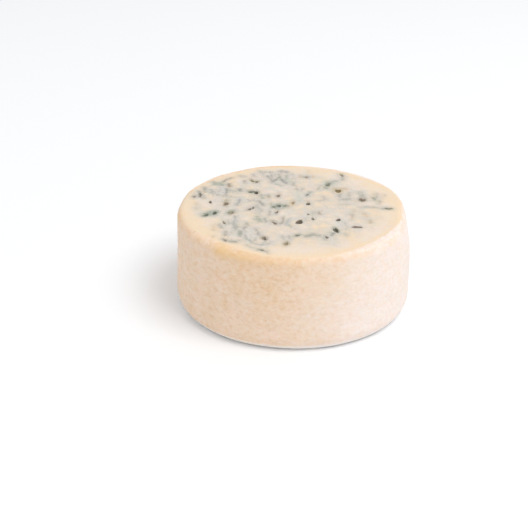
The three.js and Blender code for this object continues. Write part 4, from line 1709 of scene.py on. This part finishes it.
@dataclass(frozen=True)
class Studio:
    """The pale floor, the soft light and the camera at the photograph's viewing angle."""

    form: WheelForm
    image_px: float = 528.0
    sensor: float = 36.0
    distance: float = 1000.0
    elevation: float = math.radians(26.35)
    roll: float = math.radians(-1.53)
    px_per_mm: float = 1.1471
    centre_px: Point = (293.49, 252.25)
    target_height: float = 41.5
    floor_colour: Colour = (0.915, 0.925, 0.94)
    sky: float = 0.77
    floor_size: float = 8.0
    lamp_azimuth: float = math.radians(55)
    lamp_elevation: float = math.radians(61)
    lamp_away: float = 3.4
    lamp_size: float = 1.9
    lamp_power: float = 52.0

    def build(self) -> None:
        """Makes everything round the wheel."""
        self._floor()
        self._sky_light()
        self._lamp()
        self._camera()
        scene = bpy.context.scene
        scene.view_settings.view_transform = "Standard"
        scene.view_settings.look = "None"
        log.info("studio: floor, sky, lamp and camera")

    def _floor(self) -> None:
        """Makes the plain pale floor."""
        bm = bmesh.new()
        bmesh.ops.create_grid(bm, x_segments=1, y_segments=1, size=self.floor_size / 2)
        mesh = bpy.data.meshes.new("floor")
        bm.to_mesh(mesh)
        bm.free()
        floor = bpy.data.objects.new("floor", mesh)
        bpy.context.scene.collection.objects.link(floor)
        board = NodeBoard("pale floor")
        shader = board.add("ShaderNodeBsdfDiffuse")
        shader.inputs["Color"].default_value = (*self.floor_colour, 1)
        output = board.add("ShaderNodeOutputMaterial")
        board.put(output.inputs["Surface"], shader.outputs[0])
        mesh.materials.append(board.material)

    def _sky_light(self) -> None:
        """Sets the even light from all round."""
        world = bpy.data.worlds.new("soft studio")
        world.use_nodes = True
        back = world.node_tree.nodes["Background"]
        back.inputs["Color"].default_value = (1, 1, 1, 1)
        back.inputs["Strength"].default_value = self.sky
        bpy.context.scene.world = world

    def _lamp(self) -> None:
        """Makes the soft square lamp that looks at the wheel from the right of the camera."""
        light = bpy.data.lights.new("key", "AREA")
        light.energy = self.lamp_power
        light.size = self.lamp_size
        lamp = bpy.data.objects.new("key", light)
        turn, up = self.lamp_azimuth, self.lamp_elevation
        target = Vector((0, 0, self.target_height * MM))
        way = Vector((math.sin(turn) * math.cos(up), -math.cos(turn) * math.cos(up), math.sin(up)))
        lamp.location = target + way * self.lamp_away
        lamp.rotation_euler = way.to_track_quat("Z", "Y").to_euler()
        bpy.context.scene.collection.objects.link(lamp)

    def _camera(self) -> None:
        """Makes the camera that was fitted to the wheel's outline in the photograph."""
        data = bpy.data.cameras.new("camera")
        data.sensor_width = self.sensor
        data.lens = self.px_per_mm * self.distance / self.image_px * self.sensor
        data.shift_x = (self.image_px / 2 - self.centre_px[0]) / self.image_px
        data.shift_y = (self.centre_px[1] - self.image_px / 2) / self.image_px
        data.clip_start = 0.05
        camera = bpy.data.objects.new("camera", data)
        back = Vector((0, -math.cos(self.elevation), math.sin(self.elevation)))
        up = Vector((0, math.sin(self.elevation), math.cos(self.elevation)))
        right = Vector((1, 0, 0))
        turned_right = right * math.cos(self.roll) - up * math.sin(self.roll)
        turned_up = right * math.sin(self.roll) + up * math.cos(self.roll)
        target = Vector((0, 0, self.target_height * MM))
        basis = Matrix((turned_right, turned_up, back)).transposed().to_4x4()
        camera.matrix_world = Matrix.Translation(target + back * self.distance * MM) @ basis
        bpy.context.scene.collection.objects.link(camera)
        bpy.context.scene.camera = camera


def main() -> None:
    """Builds the wheel and the studio."""
    logging.basicConfig(level=logging.INFO, format="%(name)s %(message)s")
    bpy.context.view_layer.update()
    wheel = CheeseWheel()
    piece = wheel.build()
    CheeseFinish().dress(piece)
    log.info("%s dressed", piece.name)
    Studio(wheel.form).build()


if __name__ == "__main__":
    main()
